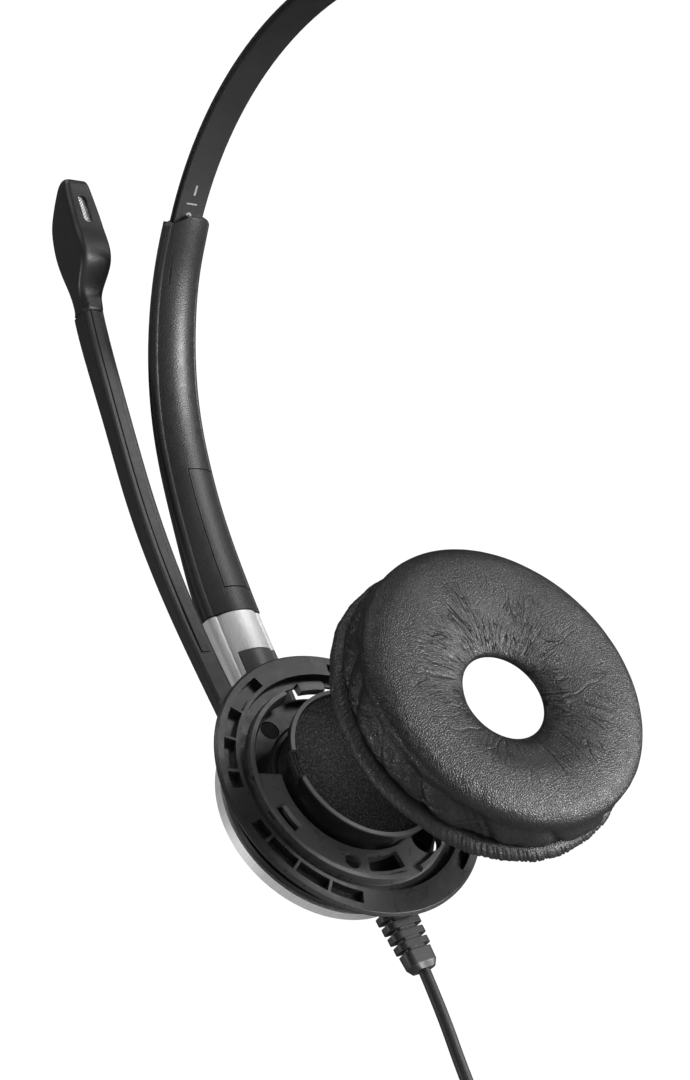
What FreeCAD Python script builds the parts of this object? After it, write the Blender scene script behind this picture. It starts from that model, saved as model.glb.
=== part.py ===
# Wired one-ear office headset, life size, in millimetres.
# Frame: +Z up as worn, +X from the ear cup across to the other side of the head, -Y the wearer's front.
# The origin is on the ear axis, midway through the head. The ear cup's axis is the X axis,
# and places along it are counted from the front face of the pad ring, positive towards the ear.
import FreeCAD, Part
import Sketcher
import math
import os

Vector = FreeCAD.Vector
Rotation = FreeCAD.Rotation
Placement = FreeCAD.Placement

X = Vector(1, 0, 0)
Y = Vector(0, 1, 0)
Z = Vector(0, 0, 1)

DRIVING = {
    # the head's side of the frame
    "ear_to_middle": 68.0,
    "arch_radius": 75.5,
    "arch_height": 69.0,
    # headband strip
    "band_thick": 2.2,
    "band_wide": 7.8,
    "band_shift": 0.5,
    "band_groove": 0.7,
    "band_hidden_end": 62.0,
    "band_far_end": 114.0,
    "spring_thick": 0.5,
    "spring_wide": 6.0,
    "fit_gap": 0.2,
    # arm that slides on the strip
    "arm_mouth": 20.5,
    "arm_bend": 80.0,
    "arm_shift": 1.2,
    "arm_top_wide": 12.2,
    "arm_top_thick": 5.8,
    "arm_low_wide": 16.0,
    "arm_low_thick": 8.2,
    "arm_seam": 54.3,
    "sleeve_end": 22.0,
    # pad ring
    "ring_radius": 33.0,
    "ring_back": -2.6,
    "pocket_out": 31.0,
    "pocket_in": 28.3,
    "pocket_floor": -1.9,
    "lip_out": 25.2,
    "lip_in": 23.2,
    "web_in": 17.4,
    "web_front": -1.2,
    "web_back": -2.5,
    "tilt_axis": -2.6,
    # ear cup
    "baffle_front": -5.0,
    "housing_radius": 24.4,
    "housing_back": -9.4,
    "hub_front": -9.7,
    "hub_back": -11.0,
    "hub_radius": 26.3,
    "hub_bore": 12.0,
    "cover_front": -11.3,
    "cover_radius": 26.9,
    "cover_back": -16.1,
    "wall": 1.5,
    # driver
    "capsule_radius": 16.6,
    "rim_radius": 18.5,
    "rim_front": 6.5,
    "rim_back": 4.6,
    "foam_radius": 17.5,
    "foam_front": 6.0,
    # boom
    "boom_side": -14.0,
    "boom_wide": 5.8,
    "boom_face": 1.7,
    # ear pad
    "pad_radius": 34.0,
    "pad_thick": 15.0,
    "pad_hole": 10.5,
    "pad_recess": 25.0,
    "pad_recess_deep": 7.6,
    # cord
    "cord_thick": 2.6,
    "cord_depth": -7.35,
    "coil_mean_radius": 14.3,
    "coil_bundle_radius": 5.2,
    "coil_centre_z": -122.0,
}

doc = FreeCAD.newDocument("office_headset")
sheet = doc.addObject("Spreadsheet::Sheet", "Sizes")
for row, (alias, number) in enumerate(DRIVING.items(), start=1):
    sheet.set("A%d" % row, alias)
    sheet.set("B%d" % row, str(number))
    sheet.setAlias("B%d" % row, alias)
doc.recompute()

parts = {}


def size(alias):
    """A driving dimension's number, read from the sheet."""
    return float(sheet.get(alias))


def dim(alias, more=0.0):
    """A driving dimension, moved by a fixed amount: its number now, and its expression."""
    return size(alias) + more, "Sizes.%s + %g" % (alias, more)


def tie(item, **bonds):
    """Bind properties to expressions; Placement_Base_x stands for Placement.Base.x."""
    for name, (_, expression) in bonds.items():
        item.setExpression(name.replace("_", "."), expression)
    return item


def node(item, name):
    """Keep an object as the sub-part of that name."""
    item.Label = name
    parts[name] = item
    return item


def cup_shift():
    return Vector(-size("ear_to_middle"), 0, 0)


# ---------------------------------------------------------------- building blocks


def origin_plane(body, role):
    return next(feature for feature in body.Origin.OriginFeatures if feature.Role == role)


def outline(body, plane, corners):
    """A closed sketch of straight edges whose corners are bound to the sheet."""
    sketch = body.newObject("Sketcher::SketchObject", body.Name + "_outline")
    sketch.AttachmentSupport = (origin_plane(body, plane), [""])
    sketch.MapMode = "FlatFace"
    spots = [Vector(u[0], v[0], 0) for u, v in corners]
    count = len(spots)
    for i in range(count):
        sketch.addGeometry(Part.LineSegment(spots[i], spots[(i + 1) % count]), False)
    add = sketch.addConstraint
    for i in range(count):
        add(Sketcher.Constraint("Coincident", i, 2, (i + 1) % count, 1))
    for i, (u, v) in enumerate(corners):
        for kind, axis, (number, expression) in (("DistanceX", -2, u), ("DistanceY", -1, v)):
            if abs(number) < 1e-9:
                add(Sketcher.Constraint("PointOnObject", i, 1, axis))
            else:
                added = add(Sketcher.Constraint(kind, -1, 1, i, 1, number))
                sketch.setExpression("Constraints[%d]" % added, expression)
    return sketch


def turned(name, corners, at_cup=True):
    """A body turned about the X axis from (place along the axis, radius) corners."""
    body = doc.addObject("PartDesign::Body", name + "_body")
    sketch = outline(body, "XZ_Plane", corners)
    turn = body.newObject("PartDesign::Revolution", name + "_turn")
    turn.Profile = sketch
    turn.ReferenceAxis = (sketch, ["H_Axis"])
    turn.Angle = 360.0
    body.Tip = turn
    if at_cup:
        tie(body, Placement_Base_x=(0, "-Sizes.ear_to_middle"))
    doc.recompute()
    return body


def ring(name, back, front, inner, outer):
    """A plain turned ring between two places along the cup's axis."""
    return turned(name, [(back, inner), (front, inner), (front, outer), (back, outer)])


def along_x(name, radius, back, front, y=0.0, z=0.0):
    """A cylinder parallel to the cup's axis."""
    rod = doc.addObject("Part::Cylinder", name)
    length = (front[0] - back[0], "(%s) - (%s)" % (front[1], back[1]))
    rod.Placement = Placement(Vector(0, y, z), Rotation(Y, 90))
    return tie(
        rod, Radius=radius, Height=length, Placement_Base_x=(0, back[1] + " - Sizes.ear_to_middle"),
    )


def sector(name, inner, outer, back, front, begin, sweep):
    """Part of a ring about the cup's axis, from an angle off +Z towards +Y, turning the other way."""
    pieces = []
    for suffix, radius in (("_out", outer), ("_in", inner)):
        pie = along_x(name + suffix, radius, back, front)
        pie.Angle = sweep
        pie.Placement.Rotation = Rotation(X, 180.0 - begin).multiply(Rotation(Y, 90))
        pieces.append(pie)
    return cut(name, pieces[0], [pieces[1]])


def arch_block(name, inner, outer, wide, begin, sweep):
    """Part of the arch about its centre, from an angle off +Z towards the ear cup, going over the top."""
    pieces = []
    for suffix, radius in (("_out", outer), ("_in", inner)):
        pie = doc.addObject("Part::Cylinder", name + suffix)
        pie.Angle = sweep
        turn = Rotation(Y, 270.0 - begin).multiply(Rotation(X, -90))
        pie.Placement = Placement(Vector(0, 0, 0), turn)
        half = "Sizes.band_shift - 0.5 * (%s)" % wide[1]
        tie(pie, Radius=radius, Height=wide, Placement_Base_y=(0, half))
        tie(pie, Placement_Base_z=(0, "Sizes.arch_height"))
        pieces.append(pie)
    return cut(name, pieces[0], [pieces[1]])


def block(name, low, high):
    """A box between two corners given in the object's frame."""
    box = doc.addObject("Part::Box", name)
    box.Length = high[0] - low[0]
    box.Width = high[1] - low[1]
    box.Height = high[2] - low[2]
    box.Placement.Base = Vector(*low)
    return box


def cut(name, base, tools):
    tool = tools[0]
    if len(tools) > 1:
        tool = doc.addObject("Part::MultiFuse", name + "_tools")
        tool.Shapes = tools
    whole = doc.addObject("Part::Cut", name)
    whole.Base = base
    whole.Tool = tool
    return whole


def fuse(name, items):
    whole = doc.addObject("Part::MultiFuse", name)
    whole.Shapes = items
    whole.Refine = True
    return whole


def common(name, base, tool):
    whole = doc.addObject("Part::Common", name)
    whole.Base = base
    whole.Tool = tool
    return whole


def shaped(name, shape, placement=None):
    """A sub-part whose shape is made by Part's own functions."""
    item = doc.addObject("Part::Feature", name)
    item.Shape = shape
    if placement:
        item.Placement = placement
    return item


def polar(radius, angle):
    """(y, z) of a point about the cup's axis, at an angle off +Z towards +Y."""
    turn = math.radians(angle)
    return radius * math.sin(turn), radius * math.cos(turn)


def rounded_section(centre, out, side, thick, wide, radius, shift=0.0, crown=0.0):
    """A rectangle with round corners about a centre: thick along one direction, wide along the other.
    Its inner side can be crowned, with the corners set back by the height of the crown."""
    half_t = thick / 2
    half_w = wide / 2
    radius = min(radius, half_t - crown / 2 - 0.05, half_w - 0.05)
    edges = []
    turns = [(1, 1, 0), (-1, 1, 90), (-1, -1, 180), (1, -1, 270)]

    def spot(u, v):
        return centre + out * (u + shift) + side * v

    last = None
    first = None
    for sign_u, sign_v, begin in turns:
        mid_u = sign_u * (half_t - radius)
        if sign_u < 0:
            mid_u += crown
        mid_v = sign_v * (half_w - radius)
        ends = []
        for angle in (begin, begin + 45, begin + 90):
            turn = math.radians(angle)
            ends.append(spot(mid_u + radius * math.cos(turn), mid_v + radius * math.sin(turn)))
        if last is None:
            first = ends[0]
        else:
            crowned = crown > 0 and begin == 180
            bridge = Part.Arc(last, spot(-half_t, 0), ends[0]) if crowned else Part.LineSegment(last, ends[0])
            edges.append(bridge.toShape())
        edges.append(Part.Arc(*ends).toShape())
        last = ends[2]
    edges.append(Part.LineSegment(last, first).toShape())
    return Part.Wire(edges)


# ---------------------------------------------------------------- arm and headband


ARM_SWELL = 2.4
ARM_SWELL_TOP = 100.0


def arm_swell(z):
    """How far the arm bows outwards at a height, between the cup and the end of the headband."""
    low = size("sleeve_end")
    share = (z - low) / (ARM_SWELL_TOP - low)
    return ARM_SWELL * math.sin(math.pi * share) ** 2 if 0 < share < 1 else 0.0


def arm_station(along):
    """A place on the arm's centre line, its outward and its downward direction.
    Below 1 it is a share of the curved length, above 1 a height on the straight lower part."""
    radius = size("arch_radius")
    bend = math.radians(size("arm_bend"))
    down = Vector(-math.cos(bend), 0, -math.sin(bend))
    out = Vector(-math.sin(bend), 0, math.cos(bend))
    foot = Vector(0, 0, size("arch_height")) + out * radius
    if along > 1:
        run = (foot.z - along) / math.sin(bend)
        return foot + down * run + out * arm_swell(along) + Y * size("arm_shift"), out, down
    mouth = math.radians(size("arm_mouth"))
    angle = mouth + (bend - mouth) * along
    out = Vector(-math.sin(angle), 0, math.cos(angle))
    down = Vector(-math.cos(angle), 0, -math.sin(angle))
    centre = Vector(0, 0, size("arch_height")) + out * radius
    return centre + out * arm_swell(centre.z) + Y * size("arm_shift"), out, down


ARM_STATIONS = (0.0, 0.17, 0.34, 0.5, 0.67, 0.84, 1.0)
ARM_CHANNEL_BEGIN = 76.0
ARM_CHANNEL_SWEEP = 60.0


ARM_GROWTH_AT_BEND = 0.6
ARM_FULL_HEIGHT = 60.0


def arm_growth(along):
    """0 at the arm's mouth, growing past the bend to 1 at the height where the arm is full."""
    if along <= 1:
        return ARM_GROWTH_AT_BEND * along
    foot = arm_station(1.0)[0].z
    share = (foot - along) / (foot - ARM_FULL_HEIGHT)
    return min(1.0, ARM_GROWTH_AT_BEND + (1 - ARM_GROWTH_AT_BEND) * share)


def arm_size(along):
    grown = arm_growth(along)
    wide = size("arm_top_wide") + grown * (size("arm_low_wide") - size("arm_top_wide"))
    thick = size("arm_top_thick") + grown * (size("arm_low_thick") - size("arm_top_thick"))
    return wide, thick


def arm_loft(low_stop, share_in, share_out, narrower, corner, stations=ARM_STATIONS, crown=0.0):
    """The arm between two shares of its thickness, 0 at the head's side and 1 outside.
    The crown is a share of the thickness too."""
    wires = []
    for along in list(stations) + list(low_stop):
        centre, out, _ = arm_station(along)
        wide, thick = arm_size(along)
        middle = ((share_in + share_out) / 2 - 0.5) * thick
        depth = (share_out - share_in) * thick
        rise = crown * thick
        wires.append(rounded_section(centre, out, Y, depth, wide - narrower, corner, middle, rise))
    return Part.makeLoft(wires, True, False)


def make_headband():
    band = arch_block(
        "band_arc",
        (0, "Sizes.arch_radius - Sizes.band_thick / 2"),
        (0, "Sizes.arch_radius + Sizes.band_thick / 2"),
        dim("band_wide"),
        size("band_hidden_end"),
        size("band_far_end"),
    )
    spring = arch_block(
        "band_spring_arc",
        (0, "Sizes.arch_radius - Sizes.spring_thick / 2"),
        (0, "Sizes.arch_radius + Sizes.spring_thick / 2"),
        dim("spring_wide"),
        size("band_hidden_end") - 2,
        size("band_far_end") - 6,
    )
    groove = arch_block(
        "band_groove_arc",
        (0, "Sizes.arch_radius - Sizes.band_groove / 2"),
        (0, "Sizes.arch_radius + Sizes.band_groove / 2"),
        (0, "Sizes.band_wide + 2"),
        size("band_hidden_end"),
        size("band_far_end"),
    )
    groove_bed = arch_block(
        "band_groove_bed",
        (0, "Sizes.arch_radius - Sizes.band_thick / 2"),
        (0, "Sizes.arch_radius + Sizes.band_thick / 2"),
        (0, "Sizes.band_wide - Sizes.band_groove"),
        size("band_hidden_end") - 2,
        size("band_far_end") + 2,
    )
    node(spring, "headband_spring")
    sides = cut("band_side_grooves", groove, [groove_bed])
    node(cut("headband_strip_shape", band, [spring, sides]), "headband_strip")


def arm_channel():
    """The trough the headband slides in; the outer shell is its lid."""
    return arch_block(
        "arm_channel",
        (0, "Sizes.arch_radius - Sizes.band_thick / 2 - Sizes.fit_gap"),
        (0, "Sizes.arch_radius + Sizes.arm_low_thick"),
        (0, "Sizes.band_wide + 2 * Sizes.fit_gap"),
        ARM_CHANNEL_BEGIN,
        ARM_CHANNEL_SWEEP,
    )


ARM_CROWN = 0.32
PANEL_SHARE = 0.48


def mouth_trims():
    """What is taken off the arm's mouth: a slanting cut at the front side, a round corner behind."""
    centre, out, down = arm_station(0.0)
    half = size("arm_top_wide") / 2 + 1
    depth = 12.0

    def spot(y, along):
        return centre + Y * y + down * along - out * depth

    slant = Part.makePolygon(
        [spot(-half, -1), spot(-1.8, -1), spot(-1.8, 0), spot(-half, 4.2), spot(-half, -1)]
    )
    radius = 3.0
    edge = half - 1
    bend = (edge - radius * (1 - math.sin(math.pi / 4)), radius * (1 - math.sin(math.pi / 4)))
    corner = Part.Wire([
        Part.LineSegment(spot(half, -1), spot(edge - radius, -1)).toShape(),
        Part.LineSegment(spot(edge - radius, -1), spot(edge - radius, 0)).toShape(),
        Part.Arc(spot(edge - radius, 0), spot(*bend), spot(edge, radius)).toShape(),
        Part.LineSegment(spot(edge, radius), spot(half, radius)).toShape(),
        Part.LineSegment(spot(half, radius), spot(half, -1)).toShape(),
    ])
    return [Part.Face(wire).extrude(out * 2 * depth) for wire in (slant, corner)]


def half_space(y, low=-50.0):
    """Everything on the back side of a plane across the Y axis, above a height."""
    return Part.makeBox(300, 16, 300, Vector(-200, y, low))


def make_arm():
    seam = size("arm_seam")
    channel = arm_channel()
    loft = arm_loft((70.0, 61.0, seam), 0.0, 0.7, 0.0, 1.6, ARM_STATIONS, ARM_CROWN)
    inner = shaped("arm_inner_loft", loft)
    outer_stations = (0.04,) + ARM_STATIONS[1:]
    lid = arm_loft((70.0, 61.0, seam), 0.73, 1.0, 1.2, 1.0, outer_stations)
    trims = mouth_trims()
    for trim in trims:
        lid = lid.cut(trim)
    clip_space = arch_block(
        "clip_space",
        (0, "Sizes.arch_radius - Sizes.band_thick / 2 - 1.0"),
        (0, "Sizes.arch_radius"),
        (0, "6.4"),
        34.0,
        9.0,
    )
    stations = (0.855, 0.92, 1.0)
    hollow = arm_loft((70.0, 60.5), -0.1, PANEL_SHARE, -2.0, 0.6, stations).common(half_space(-1.0))
    filling = arm_loft((70.0, 60.8), -0.1, PANEL_SHARE - 0.01, -2.0, 0.6, (0.858, 0.92, 1.0)).common(half_space(-0.8))
    trimmings = [shaped("mouth_trim%d" % number, trim) for number, trim in enumerate(trims)]
    doc.recompute()
    panel = loft.common(filling).cut(channel.Shape)
    node(shaped("arm_panel", panel), "arm_cover_panel")
    node(
        cut("arm_inner", inner, [channel, clip_space, shaped("panel_space", hollow)] + trimmings),
        "arm_inner_shell",
    )
    node(shaped("arm_outer_lid", lid), "arm_outer_shell")
    clip = arch_block(
        "detent_clip_arc",
        (0, "Sizes.arch_radius - Sizes.band_thick / 2 - 0.8"),
        (0, "Sizes.arch_radius - Sizes.band_thick / 2 - 0.3"),
        (0, "6.0"),
        33.8,
        8.6,
    )
    node(clip, "slider_detent_spring")


def make_sleeve():
    """Metal sleeve between the plastic arm and the cup, with a dark tab let into its inner side."""
    top = size("arm_seam") - 0.3
    end = size("sleeve_end")
    middle = -size("ear_to_middle")
    cup_space = Part.makeCylinder(size("cover_radius") + 0.15, 40, Vector(middle - 30, 0, 0), X)
    sleeve = arm_loft((top, 45.0, 38.0, 30.0, end), 0.0, 1.0, 0.4, 2.0, (), ARM_CROWN)
    hollow = arm_loft((43.5, 38.0, end - 4), -0.1, PANEL_SHARE, -2.0, 0.4, ()).common(half_space(-3.6, -6))
    filling = arm_loft((43.3, 38.0, end - 4), -0.1, PANEL_SHARE - 0.02, -2.0, 0.4, ()).common(half_space(-3.4, -6))
    tongue = Part.makeBox(1.5, 9, 13.0, Vector(middle - 14.5, -4.5, 17.0))
    metal = sleeve.cut(hollow).cut(cup_space).fuse(tongue).removeSplitter()
    node(shaped("sleeve_shape", metal), "metal_sleeve")
    node(shaped("tab_shape", sleeve.common(filling).cut(cup_space).cut(tongue)), "sleeve_tab")


# ---------------------------------------------------------------- ear cup


def make_cup():
    wall = size("wall")
    cover = turned(
        "cover",
        [
            (dim("cover_front"), dim("cover_radius")),
            (dim("cover_front", -2.6), dim("cover_radius")),
            (dim("cover_back", 0.6), dim("cover_radius", -2.6)),
            (dim("cover_back"), dim("cover_radius", -5.4)),
            (dim("cover_back", -0.3), (0.0, "0")),
            (dim("cover_back", 1.2), (0.0, "0")),
            (dim("cover_back", 1.5), dim("cover_radius", -6.0)),
            (dim("cover_front", -2.2), dim("cover_radius", -wall - 0.2)),
            (dim("cover_front"), dim("cover_radius", -wall)),
        ],
    )
    slot = block("cover_slot", (-82.8, -4.7, 14.0), (-80.8, 4.7, 29.0))
    node(cut("outer_cover_shape", cover, [slot]), "outer_cover")

    housing = turned(
        "housing",
        [
            (dim("baffle_front", -1.4), dim("housing_radius")),
            (dim("housing_back"), dim("housing_radius", 0.8)),
            (dim("housing_back"), dim("hub_bore", -0.4)),
            (dim("cover_front"), dim("hub_bore", -0.4)),
            (dim("cover_front"), dim("hub_bore", -3.4)),
            (dim("housing_back", wall), dim("hub_bore", -3.4)),
            (dim("housing_back", wall), dim("housing_radius", -wall)),
            (dim("baffle_front", -1.4), dim("housing_radius", -wall)),
        ],
    )
    gland = block("gland_space", (-77.1, -4.5, -27.0), (-73.4, 2.7, -21.0))
    node(cut("rear_housing_shape", housing, [gland]), "rear_housing")

    hub_ring = ring("hub", dim("hub_back"), dim("hub_front"), dim("hub_bore"), dim("hub_radius"))
    washer_space = ring(
        "washer_space", dim("hub_back"), dim("hub_back", 0.7), dim("hub_bore"), dim("hub_bore", 4.2),
    )
    hub_body = cut("boom_hub_shape", hub_ring, [washer_space])
    node(hub_body, "boom_hub")
    node(
        ring(
            "friction",
            dim("hub_back", -0.2),
            dim("hub_back", 0.4),
            dim("hub_bore", 0.3),
            dim("hub_bore", 3.9),
        ),
        "friction_washer",
    )
    frame_plate = turned(
        "frame_plate",
        [
            (dim("cover_front", -1.4), (0.0, "0")),
            (dim("cover_front", -0.05), (0.0, "0")),
            (dim("cover_front", -0.05), dim("cover_radius", -wall - 0.3)),
            (dim("cover_front", -1.4), dim("cover_radius", -wall - 0.3)),
        ],
    )
    wire_way = along_x("wire_way", (3.0, "3"), dim("cover_front", -3), dim("cover_front", 1))
    node(cut("frame_plate_shape", frame_plate, [wire_way]), "rear_frame_plate")

    angles = (-33.0, 147.0)
    holes = []
    screws = []
    for number, angle in enumerate(angles):
        y, z = polar(20.6, angle)
        holes.append(
            along_x(
                "screw_hole%d" % number,
                (2.3, "2.3"),
                dim("baffle_front", -0.8),
                dim("baffle_front", 1),
                y,
                z,
            )
        )
        holes.append(
            along_x(
                "screw_bore%d" % number, (1.1, "1.1"), dim("baffle_front", -3), dim("baffle_front"), y, z,
            )
        )
        head = along_x(
            "screw_head%d" % number,
            (2.1, "2.1"),
            dim("baffle_front", -0.75),
            dim("baffle_front", -0.05),
            y,
            z,
        )
        shank = along_x(
            "screw_shank%d" % number,
            (1.0, "1"),
            dim("baffle_front", -2.7),
            dim("baffle_front", -0.7),
            y,
            z,
        )
        cross = []
        for turn in (0, 90):
            bar = block("cross%d_%d" % (number, turn), (-0.5, -1.3, -0.28), (0.6, 1.3, 0.28))
            bar.Placement = Placement(Vector(-73.05, y, z), Rotation(X, turn + 20))
            cross.append(bar)
        screws.append(cut("screw%d" % number, fuse("screw_blank%d" % number, [head, shank]), cross))
    baffle = turned(
        "baffle",
        [
            (dim("baffle_front", -1.35), dim("capsule_radius", 0.2)),
            (dim("baffle_front", 0.9), dim("capsule_radius", 0.2)),
            (dim("baffle_front", 0.9), dim("capsule_radius", 1.0)),
            (dim("baffle_front"), dim("capsule_radius", 1.6)),
            (dim("baffle_front"), dim("housing_radius", -0.8)),
            (dim("baffle_front", -0.6), dim("housing_radius")),
            (dim("baffle_front", -1.35), dim("housing_radius")),
        ],
    )
    node(cut("front_baffle_shape", baffle, holes), "front_baffle")
    node(fuse("screws", screws), "baffle_screws")


def make_driver():
    clip_gap = sector(
        "clip_gap",
        dim("capsule_radius", 0.4),
        dim("rim_radius", 1),
        dim("rim_back", -1),
        dim("rim_front", 1),
        -72.0,
        21.0,
    )
    capsule = turned(
        "capsule",
        [
            (dim("housing_back", 2.2), dim("capsule_radius", -1.2)),
            (dim("rim_front", -2.2), dim("capsule_radius", -1.2)),
            (dim("rim_front", -2.2), dim("foam_radius", 0.1)),
            (dim("rim_front"), dim("foam_radius", 0.1)),
            (dim("rim_front"), dim("rim_radius")),
            (dim("rim_back"), dim("rim_radius")),
            (dim("rim_back", -1.2), dim("capsule_radius")),
            (dim("housing_back", 2.2), dim("capsule_radius")),
        ],
    )
    node(cut("driver_capsule_shape", capsule, [clip_gap]), "driver_capsule")
    node(
        ring("foam", dim("foam_front", -1.6), dim("foam_front"), (0.0, "0"), dim("foam_radius", -0.1)),
        "driver_foam",
    )
    node(
        turned(
            "basket",
            [
                (dim("baffle_front", 4.6), dim("capsule_radius", -1.3)),
                (dim("baffle_front", 4.6), dim("capsule_radius", -4.0)),
                (dim("baffle_front", 3.4), dim("capsule_radius", -9.2)),
                (dim("baffle_front", 2.4), dim("capsule_radius", -9.2)),
                (dim("baffle_front", 3.4), dim("capsule_radius", -1.3)),
            ],
        ),
        "driver_basket",
    )
    node(
        ring(
            "magnet",
            dim("baffle_front", -1.4),
            dim("baffle_front", 2.3),
            (0.0, "0"),
            dim("capsule_radius", -8.4),
        ),
        "driver_magnet",
    )
    node(
        ring(
            "voice",
            dim("baffle_front", 2.6),
            dim("baffle_front", 4.4),
            dim("capsule_radius", -10.0),
            dim("capsule_radius", -9.5),
        ),
        "voice_coil",
    )
    node(
        turned(
            "diaphragm",
            [
                (dim("baffle_front", 4.7), dim("capsule_radius", -1.4)),
                (dim("baffle_front", 5.9), dim("capsule_radius", -5.0)),
                (dim("baffle_front", 4.7), dim("capsule_radius", -9.4)),
                (dim("baffle_front", 6.1), (0.0, "0")),
                (dim("baffle_front", 6.3), (0.0, "0")),
                (dim("baffle_front", 4.95), dim("capsule_radius", -9.4)),
                (dim("baffle_front", 6.15), dim("capsule_radius", -5.0)),
                (dim("baffle_front", 4.95), dim("capsule_radius", -1.4)),
            ],
        ),
        "diaphragm",
    )
    board = block("board", (-75.6, -8.0, -12.5), (-74.6, 8.0, -2.0))
    node(board, "circuit_board")


def make_tilt_clip():
    """The snap hinge at the front edge of the capsule: two posts with two thin bars between them."""
    low = dim("rim_back", -0.9)
    high = dim("rim_front", 0.2)
    pieces = []
    for begin in (-72.5, -90.9):
        pieces.append(
            sector(
                "clip_post%g" % -begin,
                dim("foam_radius", 0.15),
                dim("rim_radius", 0.5),
                low,
                high,
                begin,
                1.9,
            )
        )
    low = dim("rim_back")
    high = dim("rim_front", -0.4)
    for number, more in enumerate((0.2, 1.0)):
        inner = dim("foam_radius", more)
        outer = dim("foam_radius", more + 0.55)
        pieces.append(sector("clip_bar%d" % number, inner, outer, low, high, -74.0, 17.5))
    node(fuse("tilt_clip_shape", pieces), "tilt_clip")


# ---------------------------------------------------------------- pad ring


def make_pad_ring():
    flange = turned(
        "flange",
        [
            (dim("ring_back"), dim("ring_radius", -1.4)),
            ((-1.0, "-1"), dim("ring_radius", -1.1)),
            ((-0.9, "-0.9"), dim("ring_radius")),
            ((-0.5, "-0.5"), dim("ring_radius")),
            ((0.0, "0"), dim("ring_radius", -0.5)),
            ((0.0, "0"), dim("pocket_in", -0.9)),
            (dim("pocket_floor"), dim("pocket_in", -1.1)),
            (dim("pocket_floor"), dim("lip_out")),
            ((-0.1, "-0.1"), dim("lip_out", -0.4)),
            ((-0.1, "-0.1"), dim("lip_in", 0.6)),
            (dim("web_front"), dim("lip_in")),
            (dim("web_front"), dim("web_in")),
            (dim("web_back"), dim("web_in")),
            (dim("web_back"), dim("lip_out")),
            (dim("ring_back"), dim("lip_out", 0.4)),
        ],
    )
    above = (1.0, "1")
    below = dim("ring_back", -1)
    cuts = []
    # two rows of pockets with radial ribs left between them: where a row begins, its ribs, where it ends
    for row in ((-24.0, -45.0, -61.0, -76.8, -85.0), (-100.4, -109.2, -124.2, -139.6, -154.4)):
        rib = 0.65
        starts = [row[0]] + [angle - rib for angle in row[1:-1]]
        stops = [angle + rib for angle in row[1:-1]] + [row[-1]]
        for start, stop in zip(starts, stops):
            cuts.append(
                sector(
                    "pocket%g" % -start,
                    dim("pocket_in"),
                    dim("pocket_out"),
                    dim("pocket_floor"),
                    above,
                    start,
                    start - stop,
                )
            )
    cuts.append(
        sector(
            "side_pocket",
            dim("pocket_in", 0.2),
            dim("pocket_out"),
            dim("pocket_floor"),
            above,
            150.0,
            10.3,
        )
    )
    cuts.append(
        sector(
            "low_pocket",
            dim("pocket_in", 0.2),
            dim("pocket_out"),
            dim("pocket_floor"),
            above,
            138.3,
            6.3,
        )
    )
    cuts.append(
        sector(
            "top_notch",
            dim("pocket_in"),
            dim("pocket_out", -0.4),
            dim("pocket_floor", 0.5),
            above,
            22.5,
            6.0,
        )
    )
    cuts.append(sector("window", dim("web_in", -1), dim("lip_in", 0.02), below, above, 66.0, 142.0))
    cuts.append(sector("lip_window", dim("web_in", -1), dim("lip_out", 0.1), below, above, 60.0, 75.0))
    cuts.append(sector("web_slot", dim("web_in", 2.2), dim("web_in", 4.8), below, above, -97.0, 17.0))
    cuts.append(
        sector("web_crescent", dim("web_in", 1.0), dim("web_in", 5.0), below, above, -162.0, 24.0)
    )
    cuts.append(
        sector("lip_gap", dim("lip_in", -0.4), dim("lip_out", 0.1), dim("web_front"), above, 176.0, 9.0)
    )
    for begin in (-79.0, -98.5):
        cuts.append(
            sector(
                "bayonet%g" % -begin,
                dim("lip_in", 0.9),
                dim("lip_out", 0.5),
                (-1.2, "-1.2"),
                (-0.5, "-0.5"),
                begin,
                5.0,
            )
        )
    y, z = polar(20.6, -151.6)
    cuts.append(along_x("web_hole", (1.9, "1.9"), below, above, y, z))
    y, z = polar(20.6, 147.0)
    cuts.append(along_x("boss_hole", (3.6, "3.6"), below, above, y, z))
    plate = cut("flange_cut", flange, cuts)
    tab = sector(
        "stop_tab", dim("lip_in", 0.3), dim("lip_out", 0.6), dim("ring_back"), (-0.6, "-0.6"), 12.5, 16.0,
    )
    lugs = []
    for side in (-1, 1):
        low = min(side * 17.8, side * 20.8)
        lug = block("lug%d" % side, (0, low, -1.9), (1.7, low + 3.0, 1.9))
        tie(lug, Placement_Base_x=(0, "Sizes.web_back - Sizes.ear_to_middle - 1.5"))
        lugs.append(lug)
    bore = doc.addObject("Part::Cylinder", "hinge_bore")
    bore.Radius = 0.75
    bore.Height = 44
    bore.Placement = Placement(Vector(0, -22, 0), Rotation(X, -90))
    tie(bore, Placement_Base_x=(0, "Sizes.tilt_axis - Sizes.ear_to_middle"))
    node(cut("pad_ring_shape", fuse("flange_fused", [plate, tab] + lugs), [bore]), "pad_ring")
    pins = []
    for side in (-1, 1):
        pin = doc.addObject("Part::Cylinder", "hinge_pin%d" % side)
        pin.Radius = 0.6
        pin.Height = 3.9
        pin.Placement = Placement(Vector(0, side * 18.65 - 1.95, 0), Rotation(X, -90))
        tie(pin, Placement_Base_x=(0, "Sizes.tilt_axis - Sizes.ear_to_middle"))
        pins.append(pin)
    node(fuse("hinge_pins", pins), "ring_hinge_pins")


# ---------------------------------------------------------------- ear pad


def pad_place():
    """Where the pulled-off pad floats: its back's centre, and the tilt of its axis."""
    facing = Vector(0.991, -0.114, -0.071)
    return Placement(Vector(28.4, 16.2, -3.2) + cup_shift(), Rotation(X, facing))


def turned_shape(corners):
    """A solid turned about the local X axis from (place, radius) corners."""
    wire = Part.makePolygon([Vector(x, 0, r) for x, r in corners + corners[:1]])
    return Part.Face(wire).revolve(Vector(0, 0, 0), X, 360)


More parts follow.
